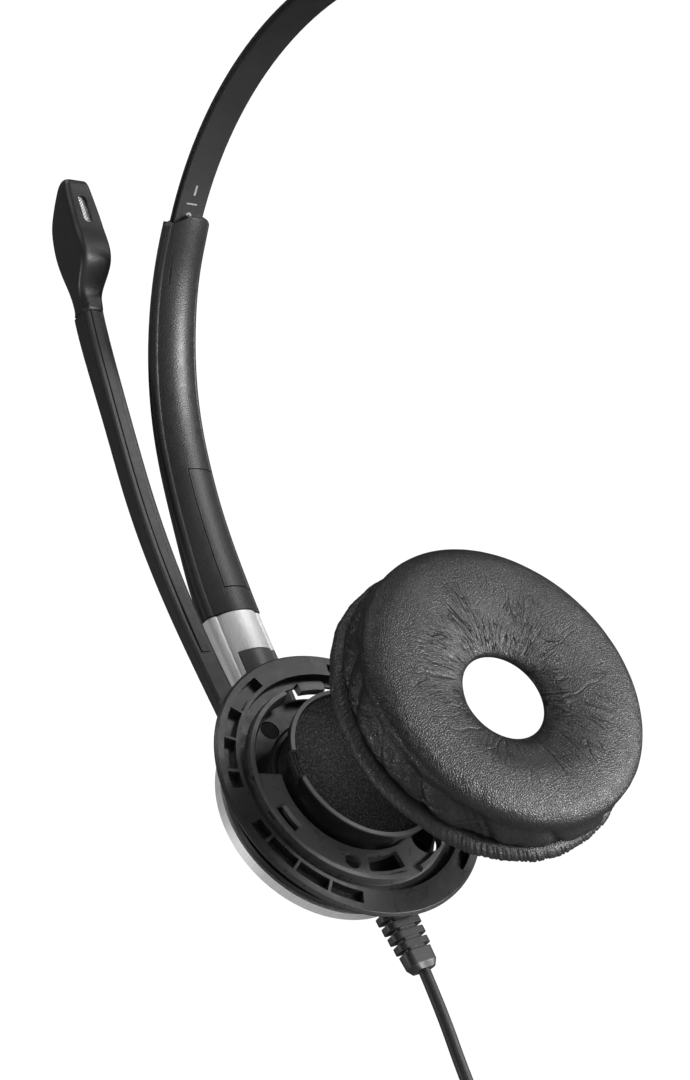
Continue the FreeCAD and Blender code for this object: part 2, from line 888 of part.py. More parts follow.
def make_ear_pad():
    thick = size("pad_thick")
    edge = size("pad_radius")
    hole = size("pad_hole")
    recess = size("pad_recess")
    deep = size("pad_recess_deep")
    skin = 0.9
    crown = [
        (0.9, edge - 0.9),
        (3.4, edge - 0.1),
        (6.6, edge + 0.2),
        (9.6, edge - 0.7),
        (12.2, edge - 3.6),
        (14.2, edge - 8.4),
        (thick, edge - 13.6),
        (thick - 0.5, edge - 18.2),
        (thick - 2.2, hole + 1.7),
        (thick - 4.4, hole + 0.3),
    ]
    cushion = turned_shape(crown + [(deep + 0.4, hole), (deep, recess), (0.9, recess)])
    inner = [(x - 0.35 * skin, r - skin) for x, r in crown[1:-2]]
    core = turned_shape(
        [(deep + 1.0, hole + 2.6), (deep + 1.0, recess + 1.0), (2.0, recess + 1.0)] + inner + [(12.0, hole + 3.4)]
    )
    node(shaped("pad_cover_shape", cushion.cut(core), pad_place()), "ear_pad_cover")
    node(shaped("pad_core_shape", core, pad_place()), "ear_pad_foam")
    lip = turned_shape(
        [
            (-0.9, edge - 3.4),
            (0.8, edge - 3.6),
            (0.8, edge - 0.3),
            (0.2, edge),
            (-0.7, edge - 0.2),
            (-0.9, edge - 0.7),
        ]
    )
    node(shaped("pad_skirt_shape", lip, pad_place()), "ear_pad_skirt")
    back = turned_shape([(0.0, recess), (0.8, recess), (0.8, edge - 3.7), (0.0, edge - 3.7)])
    node(shaped("pad_back_shape", back, pad_place()), "ear_pad_back_ring")


# ---------------------------------------------------------------- boom and microphone


# the boom's line, as a place along the cup's axis and a height, and how thick the boom is there
BOOM_LINE = (
    (-11.6, 26.0, 3.4),
    (-11.5, 43.0, 3.6),
    (-9.9, 66.0, 4.4),
    (-5.6, 90.0, 5.1),
    (0.4, 112.0, 5.4),
    (5.6, 129.5, 6.2),
    (8.6, 138.0, 6.4),
)
MIC_START = Vector(8.6, 0, 138.0)
MIC_END = Vector(26.0, 0, 169.0)
# place along the microphone head, its width, and how far it reaches behind and in front of its line
MIC_SECTIONS = (
    (0.0, 5.9, 4.7, 1.7),
    (3.5, 6.3, 4.4, 1.9),
    (8.0, 7.8, 5.0, 3.9),
    (12.0, 8.7, 6.2, 6.7),
    (15.5, 9.0, 7.2, 7.0),
    (21.5, 9.0, 8.0, 5.3),
    (25.0, 8.8, 7.8, 4.4),
    (29.0, 8.4, 6.2, 3.3),
    (33.6, 7.6, 3.6, 2.2),
    (35.6, 6.4, 1.9, 1.5),
)
MIC_FACE_LEAN = 14.6
MIC_SLOT_LOW = 22.8
MIC_SLOT_LONG = 8.4


def boom_section(number, wide, corner, front, thick=None):
    """A section of the boom: its front lies at a distance before the boom's line."""
    spots = [Vector(a, 0, z) for a, z, _ in BOOM_LINE]
    before = spots[max(number - 1, 0)]
    after = spots[min(number + 1, len(spots) - 1)]
    out = Y.cross((after - before).normalize())
    thick = thick or BOOM_LINE[number][2]
    centre = spots[number] + Vector(0, size("boom_side"), 0) + cup_shift()
    return rounded_section(centre, out, Y, thick, wide, corner, front - thick / 2)


def mic_frame():
    """Where the microphone head begins, with X out of its face towards the mouth and Z along the head."""
    ahead = (MIC_END - MIC_START).normalize()
    face = Y.cross(ahead)
    start = MIC_START + Vector(0, size("boom_side"), 0) + cup_shift()
    return Placement(start, Rotation(face, Y, ahead, "XYZ"))


def mic_loft():
    wires = []
    for along, wide, behind, ahead in MIC_SECTIONS:
        thick = behind + ahead
        corner = min(1.5, thick / 2 - 0.4)
        wires.append(
            rounded_section(Vector(0, 0, along), X, Y, thick, wide, corner, (ahead - behind) / 2)
        )
    head = Part.makeLoft(wires, True, False)
    head.Placement = mic_frame()
    return head


def make_boom():
    wide = size("boom_wide")
    face = size("boom_face")
    side = size("boom_side")
    steps = range(len(BOOM_LINE))
    body = Part.makeLoft([boom_section(i, wide, 0.9, face) for i in steps], True, False)
    groove = Part.makeLoft([boom_section(i, 2.4, 0.2, face + 0.4, 0.9) for i in steps[1:]], True, False)
    strip = Part.makeLoft([boom_section(i, 2.2, 0.15, face + 0.25, 0.7) for i in steps[1:]], True, False)
    middle = -size("ear_to_middle")
    hub_thick = size("hub_front") - size("hub_back")
    root = Part.makeBox(
        hub_thick - 0.2, wide, 9.0, Vector(middle + size("hub_back") + 0.1, side - wide / 2, 20.5),
    )
    hub_space = Part.makeCylinder(size("hub_radius") + 0.05, 10, Vector(middle - 15, 0, 0), X)
    cup_space = Part.makeCylinder(size("cover_radius") + 0.6, 40, Vector(middle - 30, 0, 0), X)
    head = mic_loft()
    body = body.cut(cup_space).fuse(root.cut(hub_space)).removeSplitter()
    node(shaped("boom_shape", body.cut(groove).cut(head)), "boom_arm")
    node(shaped("boom_strip_shape", strip.cut(head)), "boom_inlay")


def make_microphone():
    place = mic_frame()
    lean = Placement(Vector(4.6, 0, MIC_SLOT_LOW), Rotation(Y, -MIC_FACE_LEAN))

    def local(shape):
        shape.Placement = place.multiply(shape.Placement)
        return shape

    def on_face(shape):
        shape.Placement = place.multiply(lean).multiply(shape.Placement)
        return shape

    def slot_plate(thick, half, behind):
        """A plate with round ends, as long as the slot, lying behind the face."""
        bar = Part.makeBox(thick, 2 * half, MIC_SLOT_LONG - 2 * half, Vector(-behind, -half, half))
        for z in (half, MIC_SLOT_LONG - half):
            bar = bar.fuse(Part.makeCylinder(half, thick, Vector(-behind, 0, z), X))
        return bar.removeSplitter()

    head = mic_loft()
    slot = on_face(slot_plate(6.0, 1.2, 3.6))
    hollow = local(Part.makeBox(5.8, 5.0, 19.0, Vector(-4.0, -2.5, 9.8)))
    front = local(Part.makeBox(20, 40, 60, Vector(0.6, -20, 2.0)))
    node(shaped("mic_back_shape", head.cut(front).cut(hollow)), "mic_back_shell")
    node(shaped("mic_front_shape", head.common(front).cut(hollow).cut(slot)), "mic_front_shell")
    node(shaped("mic_mesh_shape", on_face(slot_plate(0.4, 1.15, 1.0))), "mic_mesh")
    node(
        shaped("mic_capsule_shape", local(Part.makeCylinder(2.1, 2.3, Vector(-0.6, 0, 26.0), X))),
        "mic_capsule",
    )


# ---------------------------------------------------------------- cord


CORD_Y = -0.9
CORD_TOP = -42.5
# the hand-chosen points of the hanging lead, from the strain relief down to the coil
CORD_ROUTE = (
    (-75.35, -0.9, -42.5),
    (-75.35, -1.8, -52.0),
    (-75.4, -3.8, -63.0),
    (-75.4, -5.3, -76.0),
    (-75.2, -6.3, -88.0),
    (-75.0, -7.0, -97.0),
    (-77.2, -7.2, -107.0),
)
COIL_X = -67.0


def tube(points, diameter):
    """Straight runs joined by tangent arcs, each as large as its two runs allow."""
    spots = [Vector(*point) for point in points]
    edges = []
    radii = []
    last = spots[0]
    for before, corner, after in zip(spots, spots[1:], spots[2:]):
        back = (before - corner).normalize()
        ahead = (after - corner).normalize()
        turn = math.pi - back.getAngle(ahead)
        reach = 0.45 * min((before - corner).Length, (after - corner).Length)
        radii.append(reach / math.tan(turn / 2))
        start = corner + back * reach
        stop = corner + ahead * reach
        inward = (back + ahead).normalize()
        hub = corner + inward * math.hypot(reach, radii[-1])
        middle = hub - inward * radii[-1]
        edges.append(Part.LineSegment(last, start).toShape())
        edges.append(Part.Arc(start, middle, stop).toShape())
        last = stop
    edges.append(Part.LineSegment(last, spots[-1]).toShape())
    path = Part.Wire(edges)
    circle = Part.Wire([Part.makeCircle(diameter / 2, spots[0], spots[1] - spots[0])])
    return path.makePipeShell([circle], True, False)


def make_strain_relief():
    """Anchored in the housing: a core with four flexing fins and a solid end block."""
    middle = -size("ear_to_middle") + size("cord_depth")

    def run(stations, corner):
        wires = [
            rounded_section(Vector(middle, CORD_Y, z), X, Y, thick, wide, corner)
            for z, wide, thick in stations
        ]
        return Part.makeLoft(wires, True, True)

    body = run(((-24.7, 6.8, 3.4), (-28.6, 6.8, 3.4)), 0.9)
    body = body.fuse(run(((-28.6, 5.6, 3.2), (-38.6, 5.0, 3.2)), 0.9))
    for number in range(4):
        z = -29.3 - 2.3 * number
        wide = 9.6 - 0.5 * number
        body = body.fuse(run(((z, wide, 4.4), (z - 1.4, wide, 4.4)), 1.6))
    body = body.fuse(run(((-38.3, 7.4, 4.2), (-41.2, 7.2, 4.0), (-42.5, 5.6, 3.3)), 1.5))
    lead_space = Part.makeCylinder(1.35, 30, Vector(middle, CORD_Y, -50), Z)
    node(shaped("relief_shape", body.cut(lead_space).removeSplitter()), "strain_relief")


def make_cord():
    thick = size("cord_thick")
    node(shaped("lead_shape", tube(CORD_ROUTE, thick)), "cord_lead")
    middle = -size("ear_to_middle") + size("cord_depth")
    inside = Part.makeCylinder(thick / 2, 17.6, Vector(middle, CORD_Y, CORD_TOP), Z)
    node(shaped("inner_lead_shape", inside), "cord_inner_end")
    mean = size("coil_mean_radius")
    bundle = size("coil_bundle_radius")
    centre = Vector(COIL_X, -3.6, size("coil_centre_z"))
    ring_shape = Part.makeTorus(mean, bundle, centre, Y)
    node(shaped("coil_shape", ring_shape), "cord_coil")
    turn = Rotation(Y, -8.0)
    tie_out = Part.makeCylinder(bundle + 1.0, 6.0, Vector(-3, 0, 0), X)
    tie_in = Part.makeCylinder(bundle + 0.1, 8.0, Vector(-4, 0, 0), X)
    band = tie_out.cut(tie_in)
    band.Placement = Placement(centre + turn.multVec(Vector(0, 0, mean)), turn)
    node(shaped("tie_shape", band), "cord_tie")
    tail_x = centre.x + 6.0
    plug_top = centre.z - mean - bundle - 8.0
    tail_z = centre.z - 17.2
    tail = Part.makeCylinder(thick / 2, tail_z - plug_top, Vector(tail_x, 0, plug_top), Z)
    node(shaped("tail_shape", tail), "cord_tail")
    make_connector(Vector(tail_x, 0, plug_top))


def make_connector(top):
    """A small quick-disconnect plug: rubber sleeve, body in two halves, latch and four contacts."""
    wires = []
    for drop, wide in ((0.0, 4.0), (-7.0, 5.6)):
        wires.append(rounded_section(top + Vector(0, 0, drop), X, Y, wide * 0.9, wide, 1.2))
    node(
        shaped(
            "plug_relief_shape",
            Part.makeLoft(wires, True, True).cut(Part.makeCylinder(1.3, 1.0, top + Z * -1, Z)),
        ),
        "plug_relief",
    )
    wires = []
    for drop, wide, thick in ((-7.1, 8.0, 5.4), (-10.0, 9.6, 6.4), (-21.0, 9.6, 6.4), (-26.0, 8.6, 5.6)):
        wires.append(rounded_section(top + Vector(0, 0, drop), X, Y, thick, wide, 1.6))
    body = Part.makeLoft(wires, True, True)
    bore = Part.makeBox(3.4, 6.0, 9.0, Vector(top.x - 1.7, top.y - 3.0, top.z - 27.0))
    half = Part.makeBox(20, 30, 60, Vector(top.x, top.y - 15, top.z - 50))
    latch_space = Part.makeBox(3, 4.2, 11.0, Vector(top.x + 2.2, top.y - 2.1, top.z - 22.0))
    node(shaped("plug_back_shape", body.cut(bore).cut(half)), "plug_back_half")
    node(shaped("plug_front_shape", body.cut(bore).common(half).cut(latch_space)), "plug_front_half")
    node(
        shaped(
            "plug_latch_shape",
            Part.makeBox(1.5, 3.8, 10.6, Vector(top.x + 2.3, top.y - 1.9, top.z - 21.8)),
        ),
        "plug_latch",
    )
    contacts = []
    for step in range(4):
        pin = Part.makeBox(0.7, 0.8, 7.0, Vector(top.x - 0.35, top.y - 2.5 + 1.4 * step, top.z - 25.0))
        contacts.append(pin)
    node(shaped("contacts_shape", Part.makeCompound(contacts)), "plug_contacts")


# ---------------------------------------------------------------- temple support


def make_temple_support():
    """The far end of the headband carries a padded cross bar that rests above the other ear."""
    angle = size("band_far_end") - size("band_hidden_end")
    turn = math.radians(angle)
    radius = size("arch_radius")
    base = Vector(radius * math.sin(turn), 0, size("arch_height") + radius * math.cos(turn))
    place = Placement(base, Rotation(Y, angle - 90))
    cap = rounded_section(Vector(0, 0, 7.0), X, Y, 5.6, 12.4, 1.4)
    low = rounded_section(Vector(0, 0, -3.4), X, Y, 6.4, 12.4, 1.4)
    pin_line = Vector(0, -15, -1.4)
    block_shape = Part.makeLoft([low, cap], True, True)
    cap_item = shaped("end_cap_block", block_shape.cut(Part.makeCylinder(1.15, 30, pin_line, Y)), place)
    doc.recompute()
    strip = parts["headband_strip"].Shape.fuse(parts["headband_spring"].Shape)
    node(shaped("end_cap_shape", cap_item.Shape.cut(strip)), "band_end_cap")
    plate_thick = 2.0
    plate = Part.makeBox(plate_thick, 38, 15, Vector(-0.2, -19, -20.2))
    across = [edge for edge in plate.Edges if abs(edge.BoundBox.XLength - plate_thick) < 1e-6]
    lugs = [Part.makeBox(4.8, 1.8, 8.6, Vector(-2.4, y, -7.2)) for y in (-8.2, 6.4)]
    bar = plate.makeFillet(2.0, across).fuse(lugs).cut(Part.makeCylinder(1.1, 30, pin_line, Y)).removeSplitter()
    node(shaped("temple_bar_shape", bar, place), "temple_bar")
    pin = Part.makeCylinder(1.0, 17.0, Vector(0, -8.5, -1.4), Y)
    node(shaped("temple_pin_shape", pin, place), "temple_pivot_pin")
    pad = Part.makeBox(4.2, 40, 16.4, Vector(-4.5, -20, -21.0))
    pad = pad.makeFillet(1.6, pad.Edges)
    node(shaped("temple_pad_shape", pad.cut(Part.makeCompound(lugs)), place), "temple_pad")


def main():
    make_headband()
    make_arm()
    make_sleeve()
    make_cup()
    make_driver()
    make_tilt_clip()
    make_pad_ring()
    make_ear_pad()
    make_boom()
    make_microphone()
    make_strain_relief()
    make_cord()
    make_temple_support()
    doc.recompute()
    for item in doc.Objects:
        if "Invalid" in item.State or "Error" in item.State:
            raise RuntimeError("failed: " + item.Label)
    for name, item in parts.items():
        if item.Shape.isNull() or not item.Shape.isValid():
            raise RuntimeError("bad shape: " + name)
    os.makedirs("parts", exist_ok=True)
    for name, item in parts.items():
        item.Shape.exportStep("parts/%s.step" % name)


main()
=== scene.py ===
"""The office headset's looks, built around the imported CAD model. Lengths are in metres."""

import math

import bpy
import numpy as np
from mathutils import Matrix, Vector


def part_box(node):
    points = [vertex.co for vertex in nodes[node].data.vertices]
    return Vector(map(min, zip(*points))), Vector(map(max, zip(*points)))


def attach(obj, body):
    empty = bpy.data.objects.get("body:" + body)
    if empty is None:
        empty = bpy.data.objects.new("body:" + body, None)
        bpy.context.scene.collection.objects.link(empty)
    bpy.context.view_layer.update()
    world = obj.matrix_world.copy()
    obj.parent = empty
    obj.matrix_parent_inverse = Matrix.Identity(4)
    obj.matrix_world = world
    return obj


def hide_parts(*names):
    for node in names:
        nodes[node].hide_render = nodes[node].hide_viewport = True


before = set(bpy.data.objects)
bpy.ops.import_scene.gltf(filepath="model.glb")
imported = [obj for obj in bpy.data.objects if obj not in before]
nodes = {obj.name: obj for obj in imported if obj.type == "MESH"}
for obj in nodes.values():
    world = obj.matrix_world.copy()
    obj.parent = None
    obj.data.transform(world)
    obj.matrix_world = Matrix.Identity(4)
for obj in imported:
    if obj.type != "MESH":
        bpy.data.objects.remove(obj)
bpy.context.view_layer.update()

MM = 0.001
scene = bpy.context.scene
# one seeded stream, so that every run draws the same folds and creases
chance = np.random.default_rng(11)


# ---------------------------------------------------------------- camera, light and floor


LENS_MM = 44.43
SENSOR_MM = 36.0
# where the camera stands, and the directions behind and above it
EYE_PLACE = (0.1397, -0.1868, -0.0990)
EYE_BACK = (0.600, -0.642, -0.477)
EYE_UP = (0.647, 0.039, 0.762)
# the middle of the object, which every lamp faces
LIT_POINT = (-0.03, 0.0, 0.03)
# the surround's white as the camera sees it, and as it lights the object
SEEN_STRENGTH = 1.05
LIT_STRENGTH = 0.1


def make_camera():
    """The camera; returns its right, up and back directions."""
    data = bpy.data.cameras.new("view")
    data.lens = LENS_MM
    data.sensor_width = SENSOR_MM
    data.clip_start = 0.01
    eye = bpy.data.objects.new("view", data)
    back = Vector(EYE_BACK).normalized()
    right = Vector(EYE_UP).cross(back).normalized()
    up = back.cross(right)
    turn = Matrix((right, up, back)).transposed().to_4x4()
    eye.matrix_world = Matrix.Translation(EYE_PLACE) @ turn
    scene.collection.objects.link(eye)
    scene.camera = eye
    return right, up, back


def soft_light(name, towards, far, size, power):
    """A square studio light on one side of the object, facing its middle."""
    data = bpy.data.lights.new(name, "AREA")
    data.shape = "SQUARE"
    data.size = size
    data.energy = power
    lamp = bpy.data.objects.new(name, data)
    towards = Vector(towards).normalized()
    lamp.location = Vector(LIT_POINT) + towards * far
    lamp.rotation_euler = towards.to_track_quat("Z", "Y").to_euler()
    scene.collection.objects.link(lamp)


def make_studio(right, up, back):
    """A white surround that lights the object only a little, and five soft lamps."""
    world = bpy.data.worlds.new("studio")
    scene.world = world
    world.use_nodes = True
    tree = world.node_tree
    seen = tree.nodes["Background"]
    seen.inputs["Color"].default_value = (1, 1, 1, 1)
    seen.inputs["Strength"].default_value = SEEN_STRENGTH
    lit = tree.nodes.new("ShaderNodeBackground")
    lit.inputs["Color"].default_value = (1, 1, 1, 1)
    lit.inputs["Strength"].default_value = LIT_STRENGTH
    path = tree.nodes.new("ShaderNodeLightPath")
    mix = tree.nodes.new("ShaderNodeMixShader")
    tree.links.new(path.outputs["Is Camera Ray"], mix.inputs[0])
    tree.links.new(lit.outputs[0], mix.inputs[1])
    tree.links.new(seen.outputs[0], mix.inputs[2])
    tree.links.new(mix.outputs[0], tree.nodes["World Output"].inputs["Surface"])
    scene.view_settings.view_transform = "Standard"
    # towards, distance, size, power
    soft_light("key", back * 0.5 - up * 0.8 + right * 0.15, 0.8, 0.35, 5.5)
    soft_light("side", back * 0.2 + right * 0.95 + up * 0.2, 0.8, 0.36, 11.0)
    soft_light("over", right * 0.72 + up * 0.7 - back * 0.05, 0.9, 0.35, 1.9)
    soft_light("top", up * 0.95 + back * 0.12 - right * 0.35, 0.9, 0.4, 2.4)
    soft_light("rim", -right * 0.9 + back * 0.3 - up * 0.35, 0.9, 0.16, 2.4)


# ---------------------------------------------------------------- materials


class Paint:
    """One procedural material; every number that is the same all over sits on the shader itself."""

    def __init__(self, name, colour, rough, metal=0.0, edge=0.12, **sockets):
        self.material = bpy.data.materials.new(name)
        self.material.use_nodes = True
        self.tree = self.material.node_tree
        self.shader = self.tree.nodes["Principled BSDF"]
        self.shader.inputs["Base Color"].default_value = (*colour, 1)
        self.shader.inputs["Roughness"].default_value = rough
        self.shader.inputs["Metallic"].default_value = metal
        for socket, value in sockets.items():
            self.shader.inputs[socket.replace("_", " ")].default_value = value
        self.normal = None
        if edge:
            bevel = self.add("ShaderNodeBevel", samples=4)
            bevel.inputs["Radius"].default_value = edge * MM
            self.normal = bevel.outputs["Normal"]
            self.tree.links.new(self.normal, self.shader.inputs["Normal"])
        self.place = self.add("ShaderNodeTexCoord").outputs["Object"]

    def add(self, kind, **values):
        item = self.tree.nodes.new(kind)
        for key, value in values.items():
            setattr(item, key, value)
        return item

    def link(self, source, target):
        self.tree.links.new(source, target)
        return source

    def stretched(self, scale=(1, 1, 1), turn=(0, 0, 0), attribute=None):
        """The object's own coordinates, turned and then stretched."""
        item = self.add("ShaderNodeMapping", vector_type="TEXTURE")
        source = self.place
        if attribute:
            source = self.add("ShaderNodeAttribute", attribute_name=attribute).outputs["Vector"]
        self.link(source, item.inputs["Vector"])
        item.inputs["Rotation"].default_value = turn
        item.inputs["Scale"].default_value = [1 / s for s in scale]
        return item.outputs["Vector"]

    def reach(self):
        """The distance from the pad's axis, kept on the mesh as the third part of "round"."""
        parts = self.add("ShaderNodeSeparateXYZ")
        kept = self.add("ShaderNodeAttribute", attribute_name="round")
        self.link(kept.outputs["Vector"], parts.inputs[0])
        return parts.outputs["Z"]

    def noise(self, scale, detail=3.0, rough=0.5, warp=0.0, place=None):
        item = self.add("ShaderNodeTexNoise")
        item.inputs["Scale"].default_value = scale
        item.inputs["Detail"].default_value = detail
        item.inputs["Roughness"].default_value = rough
        item.inputs["Distortion"].default_value = warp
        self.link(place or self.place, item.inputs["Vector"])
        return item.outputs["Fac"]

    def cells(self, scale, feature="F1", place=None, random_share=1.0):
        item = self.add("ShaderNodeTexVoronoi", feature=feature)
        item.inputs["Scale"].default_value = scale
        item.inputs["Randomness"].default_value = random_share
        self.link(place or self.place, item.inputs["Vector"])
        return item.outputs["Distance"]

    def span(self, source, low, high, to_low, to_high):
        item = self.add("ShaderNodeMapRange")
        self.link(source, item.inputs["Value"])
        for socket, value in zip(
            ("From Min", "From Max", "To Min", "To Max"), (low, high, to_low, to_high),
        ):
            item.inputs[socket].default_value = value
        return item.outputs["Result"]

    def maths(self, operation, first, second):
        item = self.add("ShaderNodeMath", operation=operation)
        for socket, value in zip(item.inputs, (first, second)):
            if isinstance(value, (int, float)):
                socket.default_value = value
            else:
                self.link(value, socket)
        return item.outputs[0]

    def coloured(self, factor, low, high, *stops):
        """Base colour along a ramp of (place, colour) stops, for factors from low to high."""
        ramp = self.add("ShaderNodeValToRGB").color_ramp
        item = self.tree.nodes[-1]
        while len(ramp.elements) < len(stops):
            ramp.elements.new(0.5)
        for element, (place, colour) in zip(ramp.elements, stops):
            element.position = place
            element.color = (*colour, 1)
        self.link(self.span(factor, low, high, 0, 1), item.inputs["Fac"])
        self.link(item.outputs["Color"], self.shader.inputs["Base Color"])

    def roughened(self, factor, low, high, smooth, rough):
        self.link(self.span(factor, low, high, smooth, rough), self.shader.inputs["Roughness"])

    def bumped(self, height, deep, strength=1.0):
        """Adds a relief, deep in metres, over any relief there is."""
        item = self.add("ShaderNodeBump")
        item.inputs["Distance"].default_value = deep
        item.inputs["Strength"].default_value = strength
        self.link(height, item.inputs["Height"])
        if self.normal:
            self.link(self.normal, item.inputs["Normal"])
        self.normal = item.outputs["Normal"]
        self.link(self.normal, self.shader.inputs["Normal"])


def grey(value, warmth=0.0):
    return (value * (1 + warmth), value, value * (1 - warmth))


def moulded(name, value, rough, grain=0.0, grain_size=0.3, edge=0.12):
    """Moulded plastic: a soft cloudiness, scuffs that change its gloss, and a sparked grain."""
    paint = Paint(name, grey(value), rough, edge=edge)
    cloud = paint.noise(55.0, 4.0, 0.6)
    paint.coloured(cloud, 0.3, 0.7, (0.0, grey(value * 0.86)), (1.0, grey(value * 1.16)))
    scuff = paint.noise(420.0, 6.0, 0.65, 0.6)
    paint.roughened(scuff, 0.3, 0.7, rough - 0.05, rough + 0.07)
    if grain:
        paint.bumped(paint.cells(1000.0 / grain_size, "SMOOTH_F1"), grain * MM)
    return paint.material


# the ring's light lip ends at this distance from its axis, in mm
RING_LIP_RADIUS = 25.3
# the capsule's pale rim begins between these two places along X, in mm
CAPSULE_RIM = (-62.3, -61.5)


def ring_face(name, outer, inner, rough):
    """The pad ring's plastic: a darker flange round a lighter lip and web."""
    paint = Paint(name, grey(outer), rough, edge=0.14)
    flat = paint.add("ShaderNodeVectorMath", operation="MULTIPLY")
    flat.inputs[1].default_value = (0, 1, 1)
    paint.link(paint.place, flat.inputs[0])
    item = paint.add("ShaderNodeVectorMath", operation="LENGTH")
    paint.link(flat.outputs[0], item.inputs[0])
    reach = item.outputs["Value"]
    cloud = paint.maths("MULTIPLY", paint.noise(60.0, 4.0, 0.6), 0.0012)
    edge = RING_LIP_RADIUS * MM
    paint.coloured(
        paint.maths("ADD", reach, cloud), edge, edge + 1.2 * MM,
        (0.0, grey(inner)), (0.3, grey(inner * 0.85)), (0.5, grey(outer)), (1.0, grey(outer * 1.15)),
    )
    scuff = paint.noise(420.0, 6.0, 0.65, 0.6)
    paint.roughened(scuff, 0.3, 0.7, rough - 0.06, rough + 0.08)
    paint.bumped(paint.cells(3200.0, "SMOOTH_F1"), 0.006 * MM)
    return paint.material


def capsule_shell(name, wall, rim, rough):
    """The driver's capsule: black walls and a pale front rim."""
    paint = Paint(name, grey(wall), rough, edge=0.1)
    split = paint.add("ShaderNodeSeparateXYZ")
    paint.link(paint.place, split.inputs[0])
    paint.coloured(
        split.outputs["X"], CAPSULE_RIM[0] * MM, CAPSULE_RIM[1] * MM,
        (0.0, grey(wall)), (0.45, grey(wall * 1.2)), (0.6, grey(rim * 0.8)), (1.0, grey(rim)),
    )
    paint.roughened(paint.noise(420.0, 6.0, 0.65, 0.6), 0.3, 0.7, rough - 0.05, rough + 0.07)
    return paint.material


def brushed(name, value, rough, turn, streak=0.02):
    """Brushed metal, streaked along one direction."""
    paint = Paint(name, grey(value), rough, metal=0.6, edge=0.15)
    line = paint.stretched((5200.0, 5200.0, 60.0), turn)
    fine = paint.noise(1.0, 4.0, 0.7, place=line)
    paint.coloured(fine, 0.25, 0.75, (0.0, grey(value * 0.72)), (1.0, grey(min(1.0, value * 1.14))))
    paint.roughened(fine, 0.2, 0.8, rough - 0.08, rough + 0.12)
    paint.bumped(fine, streak * MM)
    return paint.material


# crease layers: cells round the hole, cells per metre outwards, share of a cell that is line, depth in mm
CREASE_LAYERS = ((8.0, 60.0, 0.028, 0.5), (18.0, 150.0, 0.04, 0.22))


def crease_lines(paint, across, along, wide):
    """Thin broken lines that run out from the hole: 1 on a line, 0 off it, fading outwards."""
    place = paint.stretched((across, across, along), attribute="round")
    noise = paint.add("ShaderNodeTexNoise")
    noise.inputs["Scale"].default_value = 0.5
    noise.inputs["Detail"].default_value = 4.0
    paint.link(place, noise.inputs["Vector"])
    bent = paint.add("ShaderNodeVectorMath", operation="MULTIPLY_ADD")
    bent.inputs[1].default_value = (0.7, 0.7, 0.7)
    paint.link(noise.outputs["Color"], bent.inputs[0])
    paint.link(place, bent.inputs[2])
    edge = paint.cells(1.0, "DISTANCE_TO_EDGE", place=bent.outputs[0])
    line = paint.span(edge, 0.0, wide, 1.0, 0.0)
    broken = paint.span(paint.noise(110.0, 3.0), 0.42, 0.56, 0.0, 0.9)
    near = paint.span(paint.reach(), 12.0 * MM, 27.0 * MM, 1.0, 0.0)
    return paint.maths("MULTIPLY", paint.maths("MULTIPLY", line, broken), near)


def leather(name, value, radial):
    """Leatherette: pebbled grain and, where it is drawn in to a hole, thin broken radial creases; on the
    pad the colour carries painted shade in the creases and towards the hole.
    """
    paint = Paint(name, grey(value), 0.4, edge=0.0, Specular_IOR_Level=0.55)
    warped = paint.noise(900.0, 4.0, 0.6)
    sheen = paint.span(warped, 0.25, 0.75, 0.32, 0.5)
    pebble = paint.span(paint.cells(2100.0, "DISTANCE_TO_EDGE"), 0.0, 0.25, 0.0, 1.0)
    grain = paint.maths("ADD", pebble, paint.maths("MULTIPLY", warped, 0.8))
    shade = paint.noise(70.0, 5.0, 0.6)
    if radial:
        for across, along, wide, deep in CREASE_LAYERS:
            height = crease_lines(paint, across, along, wide)
            paint.bumped(paint.maths("SUBTRACT", 1.0, height), deep * MM, 1.0)
            # the crease lines also darken the colour: painted shade in the creases
            shade = paint.maths("SUBTRACT", shade, paint.maths("MULTIPLY", height, 1.3))
        # darker towards the hole's edge: painted shade where the face turns in to the hole
        rim = paint.span(paint.reach(), 9.5 * MM, 14.5 * MM, 0.45, 0.0)
        shade = paint.maths("SUBTRACT", shade, rim)
        sheen = paint.maths("MAXIMUM", sheen, paint.span(shade, -0.5, 0.45, 1.0, 0.0))
        stops = ((0.0, grey(value * 0.1)), (0.6, grey(value * 0.8)), (1.0, grey(value * 1.25)))
        paint.coloured(shade, -0.4, 0.7, *stops)
    else:
        paint.coloured(shade, 0.3, 0.7, (0.0, grey(value * 0.8)), (1.0, grey(value * 1.25)))
    paint.link(sheen, paint.shader.inputs["Roughness"])
    paint.bumped(grain, 0.05 * MM, 0.9)
    return paint.material


def foam(name, value):
    """Open-cell foam: its colour follows its bump, with painted shade in the low pores and painted
    highlight on the raised flecks.
    """
    paint = Paint(name, grey(value), 0.95, edge=0.0)
    pores = paint.noise(2600.0, 2.0, 0.8)
    flecks = paint.cells(3000.0)
    height = paint.maths("SUBTRACT", pores, paint.maths("MULTIPLY", flecks, 0.35))
    # colour by bump height: painted shade in the low pores, painted highlight on the raised flecks
    paint.coloured(
        height, 0.12, 0.5,
        (0.0, grey(value * 0.15)), (0.45, grey(value * 0.6)),
        (0.7, grey(value * 1.8)), (1.0, grey(value * 4.5)),
    )
    paint.bumped(height, 0.7 * MM)
    return paint.material


def rubber(name, value):
    paint = Paint(name, grey(value), 0.5, edge=0.1)
    paint.coloured(paint.noise(130.0, 4.0), 0.3, 0.7, (0.0, grey(value * 0.8)), (1.0, grey(value * 1.3)))
    paint.roughened(paint.noise(600.0, 5.0), 0.3, 0.7, 0.42, 0.6)
    paint.bumped(paint.noise(2600.0, 3.0), 0.02 * MM)
    return paint.material


